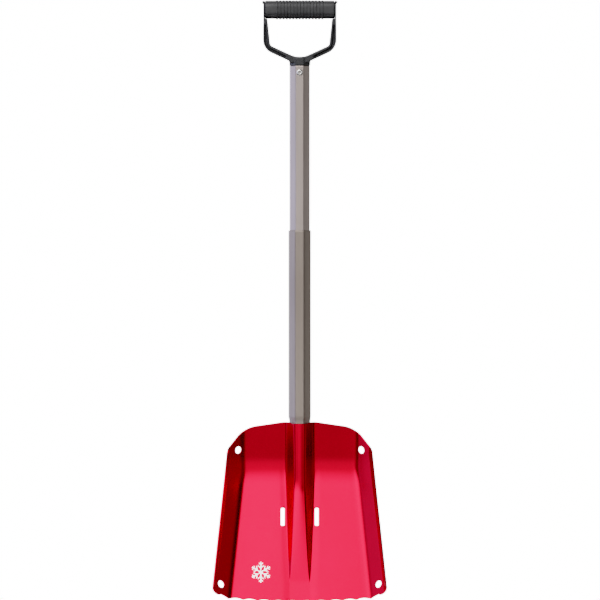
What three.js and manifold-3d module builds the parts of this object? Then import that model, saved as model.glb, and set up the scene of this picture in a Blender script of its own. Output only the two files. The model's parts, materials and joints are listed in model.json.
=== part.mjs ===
// Avalanche shovel: a stamped aluminium blade with a folded-in shaft socket, a two-piece
// telescoping shaft of rounded-trapezoid tube, and a D-shaped hand grip. Millimetres, +Z up.
// The origin is the middle of the hand grip's bar; the shaft's axis is Z and -Y is the scoop side.
import * as THREE from "three";
import { mergeVertices } from "three/addons/utils/BufferGeometryUtils.js";
import Module from "manifold-3d";

const wasm = await Module();
wasm.setup();

// ---- Driving dimensions -------------------------------------------------------------------

const GAP = 0.3; // running clearance between touching pieces
const WALL = 1.2; // wall of both tubes

// Shaft section: narrow flat in front, wide flat behind.
const SECTION_HALF_DEPTH = 13.6;
const SECTION_FRONT_HALF = 7.3; // half width of the front side, before its corners are rounded
const SECTION_BACK_HALF = 19.6; // the same for the back side
const SECTION_FRONT_RADIUS = 4;
const SECTION_BACK_RADIUS = 7;
const CORNER_STEPS = 4; // segments in each rounded corner

// Heights along the shaft.
const COLLAR_BOTTOM = -81;
const COLLAR_TOP = -66.5;
const PLUG_BOTTOM = -122;
const RIVET_Z = -91;
const UPPER_TUBE_END = -384;
const MOUTH = -320; // upper end of the lower tube
const TAPER_TOP = -589;
const TAPER_BOTTOM = -597;
const LOWER_TUBE_END = -678;
const SHAFT_BUTTON_Z = -355;
const TELESCOPE_TRAVEL = 200;
const BLADE_BUTTON_Z = -635;

// How far each shaft surface lies inside the lower tube's outer surface.
const UPPER_TUBE_INSET = WALL + GAP;
const REDUCED_INSET = 1; // the lower tube's end, swaged down to enter the socket
const COLLAR_INSET = 1;
const GRIP_PLUG_INSET = UPPER_TUBE_INSET + WALL + GAP;

// Spring buttons.
const BUTTON_RADIUS = 4.4;
const BUTTON_HOLE_RADIUS = 4.8;
const BUTTON_PROUD = 2.8; // how far a button stands out of what it locks
const BUTTON_FLANGE = 2; // thickness of the flange that keeps it in the tube
const BUTTON_FLANGE_RADIUS = 6;
const BUTTON_SEAT = 0.6; // room between the flange and the tube's wall
const LEAF_WIDTH = 8;
const LEAF_THICKNESS = 0.8;

// Hand grip.
const BAR_HALF_HEIGHT = 12.7;
const BAR_HALF_DEPTH = 13.5;
const BAR_CORNER = 9.5;
const SLEEVE_THICKNESS = 2.6;
const SLEEVE_HALF_LENGTH = 50.2;
const RIB_COUNT = 15;
const RIB_PITCH = 4.7;
const RIB_HEIGHT = 0.75;
const BAR_END = 52.6; // outer face of the bar's end plates
const BAR_END_FLARE = 1.6; // extra length of the lip along the top of the bar
const ARM_HALF_DEPTH = 11.5;
const ARM_WEB_HALF = 8.5; // half depth at the bottom of the grooves down the arms
const RIVET_HEAD = 4.6; // radii of the blind rivets
const RIVET_SHANK = 2.4;
const RIVET_BORE = 1.7;

// Blade.
const SHEET = 1.8;
const SOCKET_MOUTH = -600.5;
const BLADE_TOP = -598;
const WALL_Y = 10.8; // front surface at the scoop's deepest, behind the shaft's axis
const BEND_TOP = -646;
const BEND_BOTTOM = -690;
const WALL_LEAN = Math.tan(THREE.MathUtils.degToRad(9.5)); // the upper wall's top leans forward
const PANEL_SLOPE = Math.tan(THREE.MathUtils.degToRad(25)); // and so does the lower panel's foot
const RIDGE_FRONT_Y = -(SECTION_HALF_DEPTH - REDUCED_INSET + GAP + SHEET);
const RIDGE_BEND = -690;
const RIDGE_BEND_HALF = 12; // half the height over which its crest turns
const RIDGE_END = -828;
const RIDGE_FOOT_X = 14.4; // where both edges of the ridge run out on the panel
const RIDGE_FILLET = 4;
const RIDGE_NARROWS = -680; // from here down the ridge's sides draw in
const RIDGE_DRAW_IN = 0.62; // and this power shapes how
const RIDGE_MIN_SPREAD = 0.12; // the share of their width where they run out
const FOLD_TOP_X = 82.5;
const FOLD_TURN_Z = -664; // above this the folds run upright
const FOLD_BOTTOM_X = 102.5;
const FOLD_HALF = 5; // half the width of each fold's soft bend
const WING_ANGLE_TOP = 37; // degrees that the wings are folded forward
const WING_ANGLE_BOTTOM = 38.5;
const RIM_WIDTH = 3.5; // the wings' outer edges are turned further forward
const RIM_SLOPE = 1.3;
const SIDE_TOP = [105.6, -644];
const SIDE_BOTTOM = [125.6, -834];
const TIP = -856.2;
const TOOTH_PITCH = 20.4;
const TOOTH_DEPTH = 2.2;
const CORNER_HOLE_RADIUS = 6;
const UPPER_HOLE = [88.9, -638.5];
const LOWER_HOLE = [113.2, -830.5];
const SLOT_X = 24.6;
const SLOT_Z = -734.5;
const SLOT_WIDTH = 7.6;
const SLOT_LENGTH = 28;

// Socket back plate.
const PLATE = 1.6;
const PLATE_TOP = -603;
const PLATE_BOTTOM = -712;
const PLATE_HALF_WIDTH = 33;
const PAD_HALF_WIDTH = 14;
const PAD_FOOT = 18.5;
const PAD_Y = SECTION_HALF_DEPTH - REDUCED_INSET + GAP; // inner face of the plate's pad
const PAD_END = -686;

// ---- Materials ----------------------------------------------------------------------------

const finish = (color, roughness, metalness) =>
  new THREE.MeshStandardMaterial({ color, roughness, metalness });
const RED = finish(0xd8123c, 0.35, 0.85);
const GREY = finish(0x8f8a84, 0.4, 0.9);
const NYLON = finish(0x2b2b2b, 0.6, 0);
const RUBBER = finish(0x1e1e1e, 0.85, 0);
const BRIGHT = finish(0xd9d7d3, 0.3, 1);
const STEEL = finish(0x9a9a9a, 0.35, 1);
const PLASTIC = finish(0x3a3a3a, 0.7, 0);

// ---- Mesh and solid helpers ---------------------------------------------------------------

const geometryOf = (vertices, faces) =>
  new THREE.BufferGeometry()
    .setAttribute("position", new THREE.BufferAttribute(Float32Array.from(vertices.flat()), 3))
    .setIndex(faces.flat());

function toSolid(geometry) {
  const bare = new THREE.BufferGeometry().setAttribute("position", geometry.getAttribute("position"));
  if (geometry.index) bare.setIndex(geometry.index);
  const merged = mergeVertices(bare, 1e-4);
  return new wasm.Manifold(
    new wasm.Mesh({
      numProp: 3,
      vertProperties: merged.attributes.position.array,
      triVerts: new Uint32Array(merged.index.array),
    }),
  );
}

function toGeometry(solid) {
  const mesh = solid.getMesh();
  return new THREE.BufferGeometry()
    .setAttribute("position", new THREE.BufferAttribute(mesh.vertProperties, 3))
    .setIndex(new THREE.BufferAttribute(mesh.triVerts, 1));
}

// A closed body from rings of equal length, each a list of [x, y, z], capped at both ends.
function loft(rings) {
  const n = rings[0].length;
  const faces = [];
  for (let k = 0; k + 1 < rings.length; k++)
    for (let i = 0; i < n; i++) {
      const [a, b] = [k * n + i, k * n + ((i + 1) % n)];
      faces.push([a, b, b + n], [a, b + n, a + n]);
    }
  const last = (rings.length - 1) * n;
  const flat = THREE.ShapeUtils.triangulateShape(capPlane(rings[0]), []);
  for (const [a, b, c] of flat) faces.push([a, c, b], [last + a, last + b, last + c]);
  return outward(geometryOf(rings.flat(), faces));
}

// A ring's points in the plane it lies in, for capping it.
function capPlane(ring) {
  const spread = [0, 1, 2].map((k) => {
    const values = ring.map((p) => p[k]);
    return Math.max(...values) - Math.min(...values);
  });
  const thin = spread.indexOf(Math.min(...spread));
  const [u, v] = [0, 1, 2].filter((k) => k !== thin);
  return ring.map((p) => new THREE.Vector2(p[u], p[v]));
}

// A hollow body from outer and inner rings, joined at both ends.
function hollowLoft(outer, inner) {
  const n = outer[0].length;
  const loop = [...outer, ...inner.slice().reverse()];
  const faces = [];
  loop.forEach((_, k) => {
    const next = (k + 1) % loop.length;
    for (let i = 0; i < n; i++) {
      const j = (i + 1) % n;
      faces.push([k * n + i, k * n + j, next * n + j], [k * n + i, next * n + j, next * n + i]);
    }
  });
  return outward(geometryOf(loop.flat(), faces));
}

// The geometry with its faces pointing out.
function outward(geometry) {
  const p = geometry.getAttribute("position");
  const index = geometry.index.array;
  const [a, b, c] = [new THREE.Vector3(), new THREE.Vector3(), new THREE.Vector3()];
  let volume = 0;
  for (let i = 0; i < index.length; i += 3) {
    a.fromBufferAttribute(p, index[i]);
    b.fromBufferAttribute(p, index[i + 1]);
    c.fromBufferAttribute(p, index[i + 2]);
    volume += a.dot(b.cross(c));
  }
  if (volume < 0)
    for (let i = 0; i < index.length; i += 3) [index[i + 1], index[i + 2]] = [index[i + 2], index[i + 1]];
  return geometry;
}

// A round bar along Y from y0 to y1.
function barAlongY(radius, x, z, y0, y1, sides = 20) {
  const bar = new THREE.CylinderGeometry(radius, radius, y1 - y0, sides);
  return toSolid(bar.translate(x, (y0 + y1) / 2, z));
}

// A flat outline of [x, z] points, extruded from y0 to y1.
function plateAlongY(outline, y0, y1) {
  const shape = new THREE.Shape(outline.map(([x, z]) => new THREE.Vector2(x, z)));
  const body = new THREE.ExtrudeGeometry(shape, { depth: y1 - y0, bevelEnabled: false });
  return toSolid(body.rotateX(Math.PI / 2).translate(0, y1, 0));
}

// The points of a path whose corners [x, y, radius] are rounded with arcs.
function roundedPath(corners, closed, steps = 5) {
  const out = [];
  corners.forEach(([x, y, radius = 0], i) => {
    const before = corners[(i - 1 + corners.length) % corners.length];
    const after = corners[(i + 1) % corners.length];
    if (!radius || (!closed && (i === 0 || i === corners.length - 1))) {
      out.push([x, y]);
      return;
    }
    const here = new THREE.Vector2(x, y);
    const to = new THREE.Vector2(before[0], before[1]).sub(here).normalize();
    const from = new THREE.Vector2(after[0], after[1]).sub(here).normalize();
    const half = Math.acos(THREE.MathUtils.clamp(to.dot(from), -1, 1)) / 2;
    const centre = to.clone().add(from).normalize().multiplyScalar(radius / Math.sin(half)).add(here);
    const start = here.clone().addScaledVector(to, radius / Math.tan(half)).sub(centre);
    const turn = Math.sign(to.cross(from)) * (half * 2 - Math.PI);
    for (let k = 0; k <= steps; k++) {
      const p = start.clone().rotateAround(new THREE.Vector2(), (turn * k) / steps).add(centre);
      out.push([p.x, p.y]);
    }
  });
  return out;
}

// ---- Shaft section ------------------------------------------------------------------------

const SIDE_LEAN = (SECTION_BACK_HALF - SECTION_FRONT_HALF) / (2 * SECTION_HALF_DEPTH);
const SIDE_NORMAL_ANGLE = -Math.atan(SIDE_LEAN);

// Half width of the section at depth y, for a surface that lies inset inside the outer one.
const sideX = (y, inset) =>
  SECTION_FRONT_HALF + (y + SECTION_HALF_DEPTH) * SIDE_LEAN - inset * Math.hypot(1, SIDE_LEAN);

function cornerArc(inset, front) {
  const radius = Math.max((front ? SECTION_FRONT_RADIUS : SECTION_BACK_RADIUS) - inset, 0.4);
  const y = (front ? -1 : 1) * (SECTION_HALF_DEPTH - inset - radius);
  const x = sideX(y, inset + radius);
  const [from, to] = front ? [-Math.PI / 2, SIDE_NORMAL_ANGLE] : [SIDE_NORMAL_ANGLE, Math.PI / 2];
  return Array.from({ length: CORNER_STEPS + 1 }, (_, k) => {
    const angle = from + ((to - from) * k) / CORNER_STEPS;
    return [x + radius * Math.cos(angle), y + radius * Math.sin(angle)];
  });
}

// The right half of the section, from the front flat to the back flat.
const halfSection = (inset) => [...cornerArc(inset, true), ...cornerArc(inset, false)];

function sectionRing(inset, z) {
  const right = halfSection(inset);
  const left = right.map(([x, y]) => [-x, y]).reverse();
  return [...right, ...left].map(([x, y]) => [x, y, z]);
}

const shaftLoft = (stations) => loft(stations.map(([z, inset]) => sectionRing(inset, z)));

const shaftTube = (stations) =>
  hollowLoft(
    stations.map(([z, outer]) => sectionRing(outer, z)),
    stations.map(([z, , inner]) => sectionRing(inner, z)),
  );

// ---- Hand grip ----------------------------------------------------------------------------

// The bar's section at x: a rounded rectangle in Y and Z, grown by grow on every side.
function barRing(x, grow) {
  const [y, z, r] = [BAR_HALF_DEPTH + grow, BAR_HALF_HEIGHT + grow, BAR_CORNER + grow];
  const corners = [[-y, -z, r], [y, -z, r], [y, z, r], [-y, z, r]];
  return roundedPath(corners, true, 4).map(([py, pz]) => [x, py, pz]);
}

const barLoft = (stations) => loft(stations.map(([x, grow]) => barRing(x, grow)));

// The bottom of the hand opening, a shallow round V, from its right side to its middle.
const VALLEY_RADIUS = 32;
const VALLEY_RIGHT = roundedPath([[43.1, -52.2], [0, -72, VALLEY_RADIUS], [-43.1, -52.2]], false, 8)
  .filter(([x]) => x > -0.01 && x < 43);

// The D-shaped frame seen from the front: the lower corner is round, and the arms thin upwards.
function frameOutline() {
  const outer = roundedPath(
    [[14.6, -77], [15.6, -73.6], [52.8, -56.4, 20], [52.8, -28], [52.4, -8]],
    false,
    6,
  );
  const underSleeve = -BAR_HALF_HEIGHT - 2 * GAP;
  const inner = roundedPath(
    [[SLEEVE_HALF_LENGTH + GAP, -8], [SLEEVE_HALF_LENGTH + GAP, underSleeve], [47.2, underSleeve],
      [43.1, -52.2, 6], ...VALLEY_RIGHT],
    false,
    5,
  );
  const right = [...outer, ...inner];
  const left = right.slice(0, -1).map(([x, z]) => [-x, z]).reverse();
  return [...right, ...left];
}

// The shallow groove between the rounded edges of an arm.
function armPocket(side) {
  const path = roundedPath(
    [[20, -70.2], [50.6, -55.6, 18], [50.6, -22], [49.2, -22], [46.4, -54.4, 8], [20, -67.6]],
    true,
    5,
  );
  return path.map(([x, z]) => [side * x, z]);
}

function gripFrame() {
  const plugOutside = GRIP_PLUG_INSET;
  const plugInside = GRIP_PLUG_INSET + 3;
  let frame = plateAlongY(frameOutline(), -ARM_HALF_DEPTH, ARM_HALF_DEPTH);
  for (const side of [-1, 1])
    for (const [y0, y1] of [[-30, -ARM_WEB_HALF], [ARM_WEB_HALF, 30]]) {
      const pocket = armPocket(side);
      frame = frame.subtract(plateAlongY(side > 0 ? pocket : pocket.reverse(), y0, y1));
    }
  const core = barLoft([[-SLEEVE_HALF_LENGTH - 1, -SLEEVE_THICKNESS - GAP],
    [SLEEVE_HALF_LENGTH + 1, -SLEEVE_THICKNESS - GAP]]);
  frame = frame.add(toSolid(core));
  for (const side of [-1, 1]) {
    const plate = barLoft([
      [side * (SLEEVE_HALF_LENGTH + GAP), -0.6],
      [side * (BAR_END - 1), 0],
      [side * BAR_END, -0.8],
    ]);
    const flare = barLoft([[side * (BAR_END - 2), -0.3], [side * (BAR_END + BAR_END_FLARE), -0.3]]);
    const topOnly = new THREE.BoxGeometry(20, 60, 6).translate(side * BAR_END, 0, BAR_HALF_HEIGHT - 0.3);
    frame = frame.add(toSolid(plate)).add(toSolid(flare).intersect(toSolid(topOnly)));
  }
  const collar = shaftLoft([
    [COLLAR_BOTTOM, COLLAR_INSET],
    [COLLAR_TOP - 3.5, COLLAR_INSET],
    [COLLAR_TOP, COLLAR_INSET + 2.5],
  ]);
  const plug = shaftLoft([[PLUG_BOTTOM, plugOutside + 0.8], [PLUG_BOTTOM + 2, plugOutside], [-78, plugOutside]]);
  const plugHollow = shaftLoft([[PLUG_BOTTOM - 1, plugInside], [COLLAR_BOTTOM - 3, plugInside]]);
  const valleyLeft = VALLEY_RIGHT.slice(0, -1).map(([x, z]) => [-x, z]).reverse();
  const above = [[-43.1, -52.2], [-43.1, -40], [43.1, -40], [43.1, -52.2]];
  const valley = plateAlongY([...VALLEY_RIGHT, ...valleyLeft, ...above], -30, 30);
  return frame
    .add(toSolid(collar).subtract(valley))
    .add(toSolid(plug))
    .subtract(toSolid(plugHollow))
    .subtract(barAlongY(RIVET_SHANK + 0.35, 0, RIVET_Z, -20, 20, 16));
}

function gripSleeve() {
  const ribs = [];
  for (let i = 0; i < RIB_COUNT; i++) {
    const x = (i - (RIB_COUNT - 1) / 2) * RIB_PITCH;
    ribs.push([x - 1.5, 0], [x - 0.7, RIB_HEIGHT], [x + 0.7, RIB_HEIGHT], [x + 1.5, 0]);
  }
  const stations = [[-SLEEVE_HALF_LENGTH, 0], ...ribs, [SLEEVE_HALF_LENGTH, 0]];
  const outer = stations.map(([x, grow]) => barRing(x, grow));
  const inner = [-SLEEVE_HALF_LENGTH, SLEEVE_HALF_LENGTH].map((x) => barRing(x, -SLEEVE_THICKNESS));
  return hollowLoft(outer, inner);
}

// ---- Blind rivets -------------------------------------------------------------------------

// side is -1 for the rivet in front and 1 for the one behind.
function rivet(side) {
  const profile = [
    [RIVET_BORE, -5.6], [RIVET_SHANK, -5.6], [RIVET_SHANK, GAP], [RIVET_HEAD, GAP],
    [RIVET_HEAD, 0.7], [3.9, 1.4], [RIVET_BORE + 0.4, 1.8], [RIVET_BORE, 1.5], [RIVET_BORE, -5.6],
  ];
  return turned(profile, side, 20);
}

const mandrel = (side) => turned([[0, -7.4], [2.2, -7.4], [2.2, -6], [1.4, -5.9], [1.4, 0.5], [0, 0.9]], side, 16);

// A body turned about Y through the rivets' height, from [radius, distance out of the tube].
function turned(profile, side, sides) {
  const body = new THREE.LatheGeometry(profile.map(([r, h]) => new THREE.Vector2(r, h)), sides);
  const merged = mergeVertices(stripped(body), 1e-4);
  if (side < 0) merged.rotateX(Math.PI);
  return outward(merged.translate(0, side * (SECTION_HALF_DEPTH - UPPER_TUBE_INSET), RIVET_Z));
}

function stripped(geometry) {
  geometry.deleteAttribute("normal");
  geometry.deleteAttribute("uv");
  return geometry;
}

// ---- Tubes and their plugs ----------------------------------------------------------------

const backHole = (z) => barAlongY(BUTTON_HOLE_RADIUS, 0, z, 4, 30);

function upperTube() {
  const inner = UPPER_TUBE_INSET + WALL;
  const tube = shaftTube([
    [UPPER_TUBE_END, UPPER_TUBE_INSET, inner],
    [COLLAR_BOTTOM - GAP, UPPER_TUBE_INSET, inner],
  ]);
  return toSolid(tube)
    .subtract(barAlongY(RIVET_SHANK + GAP, 0, RIVET_Z, -20, 20, 16))
    .subtract(backHole(SHAFT_BUTTON_Z));
}

function lowerTube() {
  const tube = shaftTube([
    [LOWER_TUBE_END, REDUCED_INSET, REDUCED_INSET + WALL],
    [TAPER_BOTTOM, REDUCED_INSET, REDUCED_INSET + WALL],
    [TAPER_TOP, 0, WALL],
    [MOUTH - 2, 0, WALL],
    [MOUTH - 0.6, 0.25, WALL],
    [MOUTH, 0.8, WALL],
  ]);
  return toSolid(tube)
    .subtract(backHole(SHAFT_BUTTON_Z))
    .subtract(backHole(SHAFT_BUTTON_Z - TELESCOPE_TRAVEL))
    .subtract(backHole(BLADE_BUTTON_Z));
}

// A plug pushed into a tube's lower end, with a rim under the tube's edge.
function endPlug(end, tubeInset) {
  const inside = tubeInset + WALL + GAP;
  return shaftLoft([
    [end - 2, tubeInset + 0.8],
    [end - GAP - 0.7, tubeInset + 0.2],
    [end - GAP, tubeInset + 0.2],
    [end - GAP + 0.01, inside],
    [end + 9, inside],
    [end + 10, inside + 0.8],
  ]);
}

// ---- Spring buttons -----------------------------------------------------------------------

// wallY is the inner face of the tube behind the button, and lockY the outer face that it locks.
function button(z, wallY, lockY) {
  const flangeTop = wallY - BUTTON_SEAT;
  const top = lockY + BUTTON_PROUD;
  const profile = [
    [0, flangeTop - BUTTON_FLANGE], [BUTTON_FLANGE_RADIUS, flangeTop - BUTTON_FLANGE],
    [BUTTON_FLANGE_RADIUS, flangeTop], [BUTTON_RADIUS, flangeTop],
    [BUTTON_RADIUS, top - 1.3], [BUTTON_RADIUS - 0.5, top - 0.5], [BUTTON_RADIUS - 1.5, top], [0, top],
  ];
  const body = new THREE.LatheGeometry(profile.map(([r, h]) => new THREE.Vector2(r, h)), 20);
  return outward(mergeVertices(stripped(body), 1e-4).translate(0, 0, z));
}

// A V-shaped leaf whose rear leg lies under the button and whose front leg lies on the tube.
function leafSpring(z, wallY) {
  const rear = wallY - BUTTON_SEAT - BUTTON_FLANGE - GAP - LEAF_THICKNESS / 2;
  const front = -wallY + GAP + LEAF_THICKNESS / 2 + 0.5;
  const path = roundedPath([[rear, -7], [rear, 9, 12], [front, 44, 3], [front, -7]], false, 5);
  const side = (sign) =>
    path.map((p, i) => {
      const [a, b] = [path[Math.max(i - 1, 0)], path[Math.min(i + 1, path.length - 1)]];
      const along = new THREE.Vector2(b[0] - a[0], b[1] - a[1]).normalize();
      return new THREE.Vector2(
        p[0] - (sign * along.y * LEAF_THICKNESS) / 2,
        p[1] + (sign * along.x * LEAF_THICKNESS) / 2,
      );
    });
  const shape = new THREE.Shape([...side(1), ...side(-1).reverse()]);
  const leaf = new THREE.ExtrudeGeometry(shape, { depth: LEAF_WIDTH, bevelEnabled: false });
  // The shape's plane is turned to Y and Z, and its depth to X.
  const sideways = new THREE.Matrix4().makeBasis(
    new THREE.Vector3(0, 1, 0),
    new THREE.Vector3(0, 0, 1),
    new THREE.Vector3(1, 0, 0),
  );
  return leaf.applyMatrix4(sideways).translate(-LEAF_WIDTH / 2, 0, z);
}

// ---- Blade --------------------------------------------------------------------------------

const ramp = (t) => THREE.MathUtils.clamp(t, 0, 1);

// How steeply the front surface runs back (under 0) or forward (over 0) on its way down.
function panelSlope(z) {
  const into = ramp((BEND_TOP - z) / (BEND_TOP - BEND_BOTTOM));
  return (WALL_LEAN + PANEL_SLOPE) * into - WALL_LEAN;
}

// Front surface of the wall and the panel, with an even bend between them.
function panelY(z) {
  const rate = (WALL_LEAN + PANEL_SLOPE) / (BEND_TOP - BEND_BOTTOM);
  const above = Math.max(z - BEND_TOP, 0);
  const below = Math.max(BEND_BOTTOM - z, 0);
  return WALL_Y - panelSlope(z) ** 2 / (2 * rate) - WALL_LEAN * above - PANEL_SLOPE * below;
}

// Front of the ridge: upright over the socket, then a flatter slope that meets the panel.
function ridgeY(z) {
  const slope = (RIDGE_FRONT_Y - panelY(RIDGE_END)) / (RIDGE_BEND - RIDGE_END);
  const past = RIDGE_BEND - z;
  const turned = THREE.MathUtils.clamp(past + RIDGE_BEND_HALF, 0, 2 * RIDGE_BEND_HALF);
  return RIDGE_FRONT_Y - slope * (turned ** 2 / (4 * RIDGE_BEND_HALF) + Math.max(past - RIDGE_BEND_HALF, 0));
}

const along = (z, [x0, z0], [x1, z1]) => x0 + ((z - z0) / (z1 - z0)) * (x1 - x0);
const sideEdgeX = (z) => along(Math.min(z, SIDE_TOP[1]), SIDE_TOP, SIDE_BOTTOM);
const foldX = (z) => along(Math.min(z, FOLD_TURN_Z), [FOLD_TOP_X, FOLD_TURN_Z], [FOLD_BOTTOM_X, TIP]);
const wingSlope = (z) =>
  Math.tan(THREE.MathUtils.degToRad(along(z, [WING_ANGLE_TOP, SOCKET_MOUTH], [WING_ANGLE_BOTTOM, TIP])));

// The ridge's right half over the socket, as [x, share of its height], front flat to foot.
function ridgeProfile() {
  const height = WALL_Y - RIDGE_FRONT_Y;
  const outset = REDUCED_INSET - GAP - SHEET;
  const foot = [sideX(WALL_Y, outset), WALL_Y];
  const shoulder = cornerArc(outset, true);
  const fillet = roundedPath([shoulder.at(-1), [...foot, RIDGE_FILLET], [foot[0] + 20, WALL_Y]], false, 4);
  return [...shoulder, ...fillet.slice(1, -1)].map(([x, y]) => [x, (WALL_Y - y) / height]);
}

const RIDGE = ridgeProfile();

// One row of the blade's front surface, from the centre line out past its side edge.
function bladeRow(z) {
  const [panel, wing, fold, edge] = [panelY(z), wingSlope(z), foldX(z), sideEdgeX(z)];
  const height = Math.max(panel - ridgeY(z), 0);
  const left = ramp((z - RIDGE_END) / (RIDGE_NARROWS - RIDGE_END));
  const spread = Math.max(left ** RIDGE_DRAW_IN, RIDGE_MIN_SPREAD);
  const ridge = RIDGE.map(([x, h]) => [x * spread + RIDGE_FOOT_X * (1 - spread), panel - h * height]);
  const rim = edge - RIM_WIDTH;
  const wingY = (x) => panel - wing * Math.max(x - fold, 0) - RIM_SLOPE * Math.max(x - rim, 0);
  const bent = (x) => panel - (wing * (x - fold + FOLD_HALF) ** 2) / (4 * FOLD_HALF);
  const footX = ridge.at(-1)[0];
  const across = [0.35, 0.7].map((t) => [footX + (fold - FOLD_HALF - footX) * t, panel]);
  const folded = [-1, -0.4, 0.2, 1].map((t) => [fold + t * FOLD_HALF, bent(fold + t * FOLD_HALF)]);
  const outer = [rim - 4, rim, edge, edge + 4].map((x) => [x, wingY(x)]);
  return [[0, panel - height], ...ridge, ...across, ...folded, ...outer].map(([x, y]) => [x, y, z]);
}

// The point behind front[r][c], at an even thickness round the bends across the sheet.
function pointBehind(front, r, c, thickness) {
  const at = (i, j) => {
    const row = front[THREE.MathUtils.clamp(i, 0, front.length - 1)];
    return new THREE.Vector3(...row[THREE.MathUtils.clamp(j, 0, row.length - 1)]);
  };
  const here = at(r, c);
  const before = here.clone().sub(at(r, c - 1)).normalize();
  const after = at(r, c + 1).sub(here).normalize();
  const turn = Math.max(before.dot(after), 0);
  const halfTurnCosine = before.dot(after) === 0 ? 1 : Math.sqrt((1 + turn) / 2);
  const down = at(r + 1, c).sub(at(r - 1, c));
  const normal = down.cross(before.add(after)).normalize();
  if (normal.y < 0) normal.negate();
  return here.addScaledVector(normal, thickness / halfTurnCosine).toArray();
}

// A sheet between a grid of front points and the same grid moved back by its thickness.
function sheetBehind(front, thickness) {
  const [rows, columns] = [front.length, front[0].length];
  const back = front.map((row, r) => row.map((_, c) => pointBehind(front, r, c, thickness)));
  const n = rows * columns;
  const at = (r, c) => r * columns + c;
  const faces = [];
  for (let r = 0; r + 1 < rows; r++)
    for (let c = 0; c + 1 < columns; c++) {
      const [a, b, d, e] = [at(r, c), at(r, c + 1), at(r + 1, c), at(r + 1, c + 1)];
      faces.push([a, b, e], [a, e, d], [n + a, n + e, n + b], [n + a, n + d, n + e]);
    }
  const border = [];
  for (let c = 0; c < columns; c++) border.push(at(0, c));
  for (let r = 1; r < rows; r++) border.push(at(r, columns - 1));
  for (let c = columns - 2; c >= 0; c--) border.push(at(rows - 1, c));
  for (let r = rows - 2; r > 0; r--) border.push(at(r, 0));
  border.forEach((a, i) => {
    const b = border[(i + 1) % border.length];
    faces.push([a, n + a, n + b], [a, n + b, b]);
  });
  return outward(geometryOf([...front.flat(), ...back.flat()], faces));
}

const mirrorRow = (row) => [...row.slice(1).map(([x, y, z]) => [-x, y, z]).reverse(), ...row];

// The cutting edge: shallow scallops between teeth, on a slightly bowed line.
function cuttingEdgeZ(x) {
  const bow = TIP + 4.2 * (x / FOLD_BOTTOM_X) ** 2 + 0.33 * Math.max(Math.abs(x) - FOLD_BOTTOM_X, 0);
  const u = Math.abs(x / TOOTH_PITCH - Math.round(x / TOOTH_PITCH));
  return bow + TOOTH_DEPTH * (1 - (1 - 2 * u) ** 2);
}

// The blade's outline seen from the front.
function bladeOutline() {
  const top = roundedPath(
    [[0, SOCKET_MOUTH], [12, SOCKET_MOUTH], [14.5, BLADE_TOP], [24, BLADE_TOP], [79.1, -606, 40],
      [104.9, -636.9, 20], [...SIDE_BOTTOM], [126.6, -845, 10], [114, -846]],
    false,
    6,
  );
  const right = top.slice(0, -1);
  const edgeSteps = 6 * 6; // samples across the right half of the cutting edge
  const edge = Array.from({ length: edgeSteps + 1 }, (_, k) => {
    const x = 116 * (1 - k / edgeSteps);
    return [x, cuttingEdgeZ(x)];
  });
  const half = [...right, ...edge];
  return [...half, ...half.slice(1, -1).map(([x, z]) => [-x, z]).reverse()];
}

// A punched hole, cut square to the wing.
function wingHole([x, z], side) {
  const wingY = (height) => panelY(height) - wingSlope(height) * (x - foldX(height));
  const normal = new THREE.Vector3(side * wingSlope(z), 1, (wingY(z - 1) - wingY(z + 1)) / 2).normalize();
  const turn = new THREE.Quaternion().setFromUnitVectors(new THREE.Vector3(0, 1, 0), normal);
  const cutter = new THREE.CylinderGeometry(CORNER_HOLE_RADIUS, CORNER_HOLE_RADIUS, 24, 20);
  cutter.applyQuaternion(turn).translate(side * x, wingY(z), z);
  return toSolid(cutter);
}

function strapSlot(side) {
  const [w, l] = [SLOT_WIDTH / 2, SLOT_LENGTH / 2];
  const corners = [[-w, -l, 2.4], [w, -l, 2.4], [w, l, 2.4], [-w, l, 2.4]];
  const outline = roundedPath(corners, true, 3).map(([x, z]) => [x + side * SLOT_X, z + SLOT_Z]);
  return plateAlongY(outline, -60, 60);
}

function blade() {
  const heights = [-594, -620, BEND_TOP, -653, -660, -668, -675, -682, BEND_BOTTOM, -702,
    -716, -740, -765, -790, -808, -820, RIDGE_END, -844, -862];
  const rows = heights.map((z) => mirrorRow(bladeRow(z)));
  let solid = toSolid(sheetBehind(rows, SHEET)).intersect(plateAlongY(bladeOutline(), -150, 60));
  for (const side of [-1, 1])
    solid = solid
      .subtract(wingHole(UPPER_HOLE, side))
      .subtract(wingHole(LOWER_HOLE, side))
      .subtract(strapSlot(side));
  return solid;
}

// ---- Socket back plate --------------------------------------------------------------------

// The pad behind the shaft stays upright, and the flanges follow the back of the blade.
function plateRow(z) {
  const flange = panelY(z) + SHEET * Math.hypot(1, panelSlope(z)) + GAP;
  const closing = ramp((PAD_END - z) / (PAD_END - PLATE_BOTTOM + 4));
  const pad = Math.max(PAD_Y * (1 - closing) + flange * closing, flange);
  return [[0, pad], [PAD_HALF_WIDTH, pad], [PAD_FOOT, flange], [PLATE_HALF_WIDTH, flange]]
    .map(([x, y]) => [x, y, z]);
}

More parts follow.
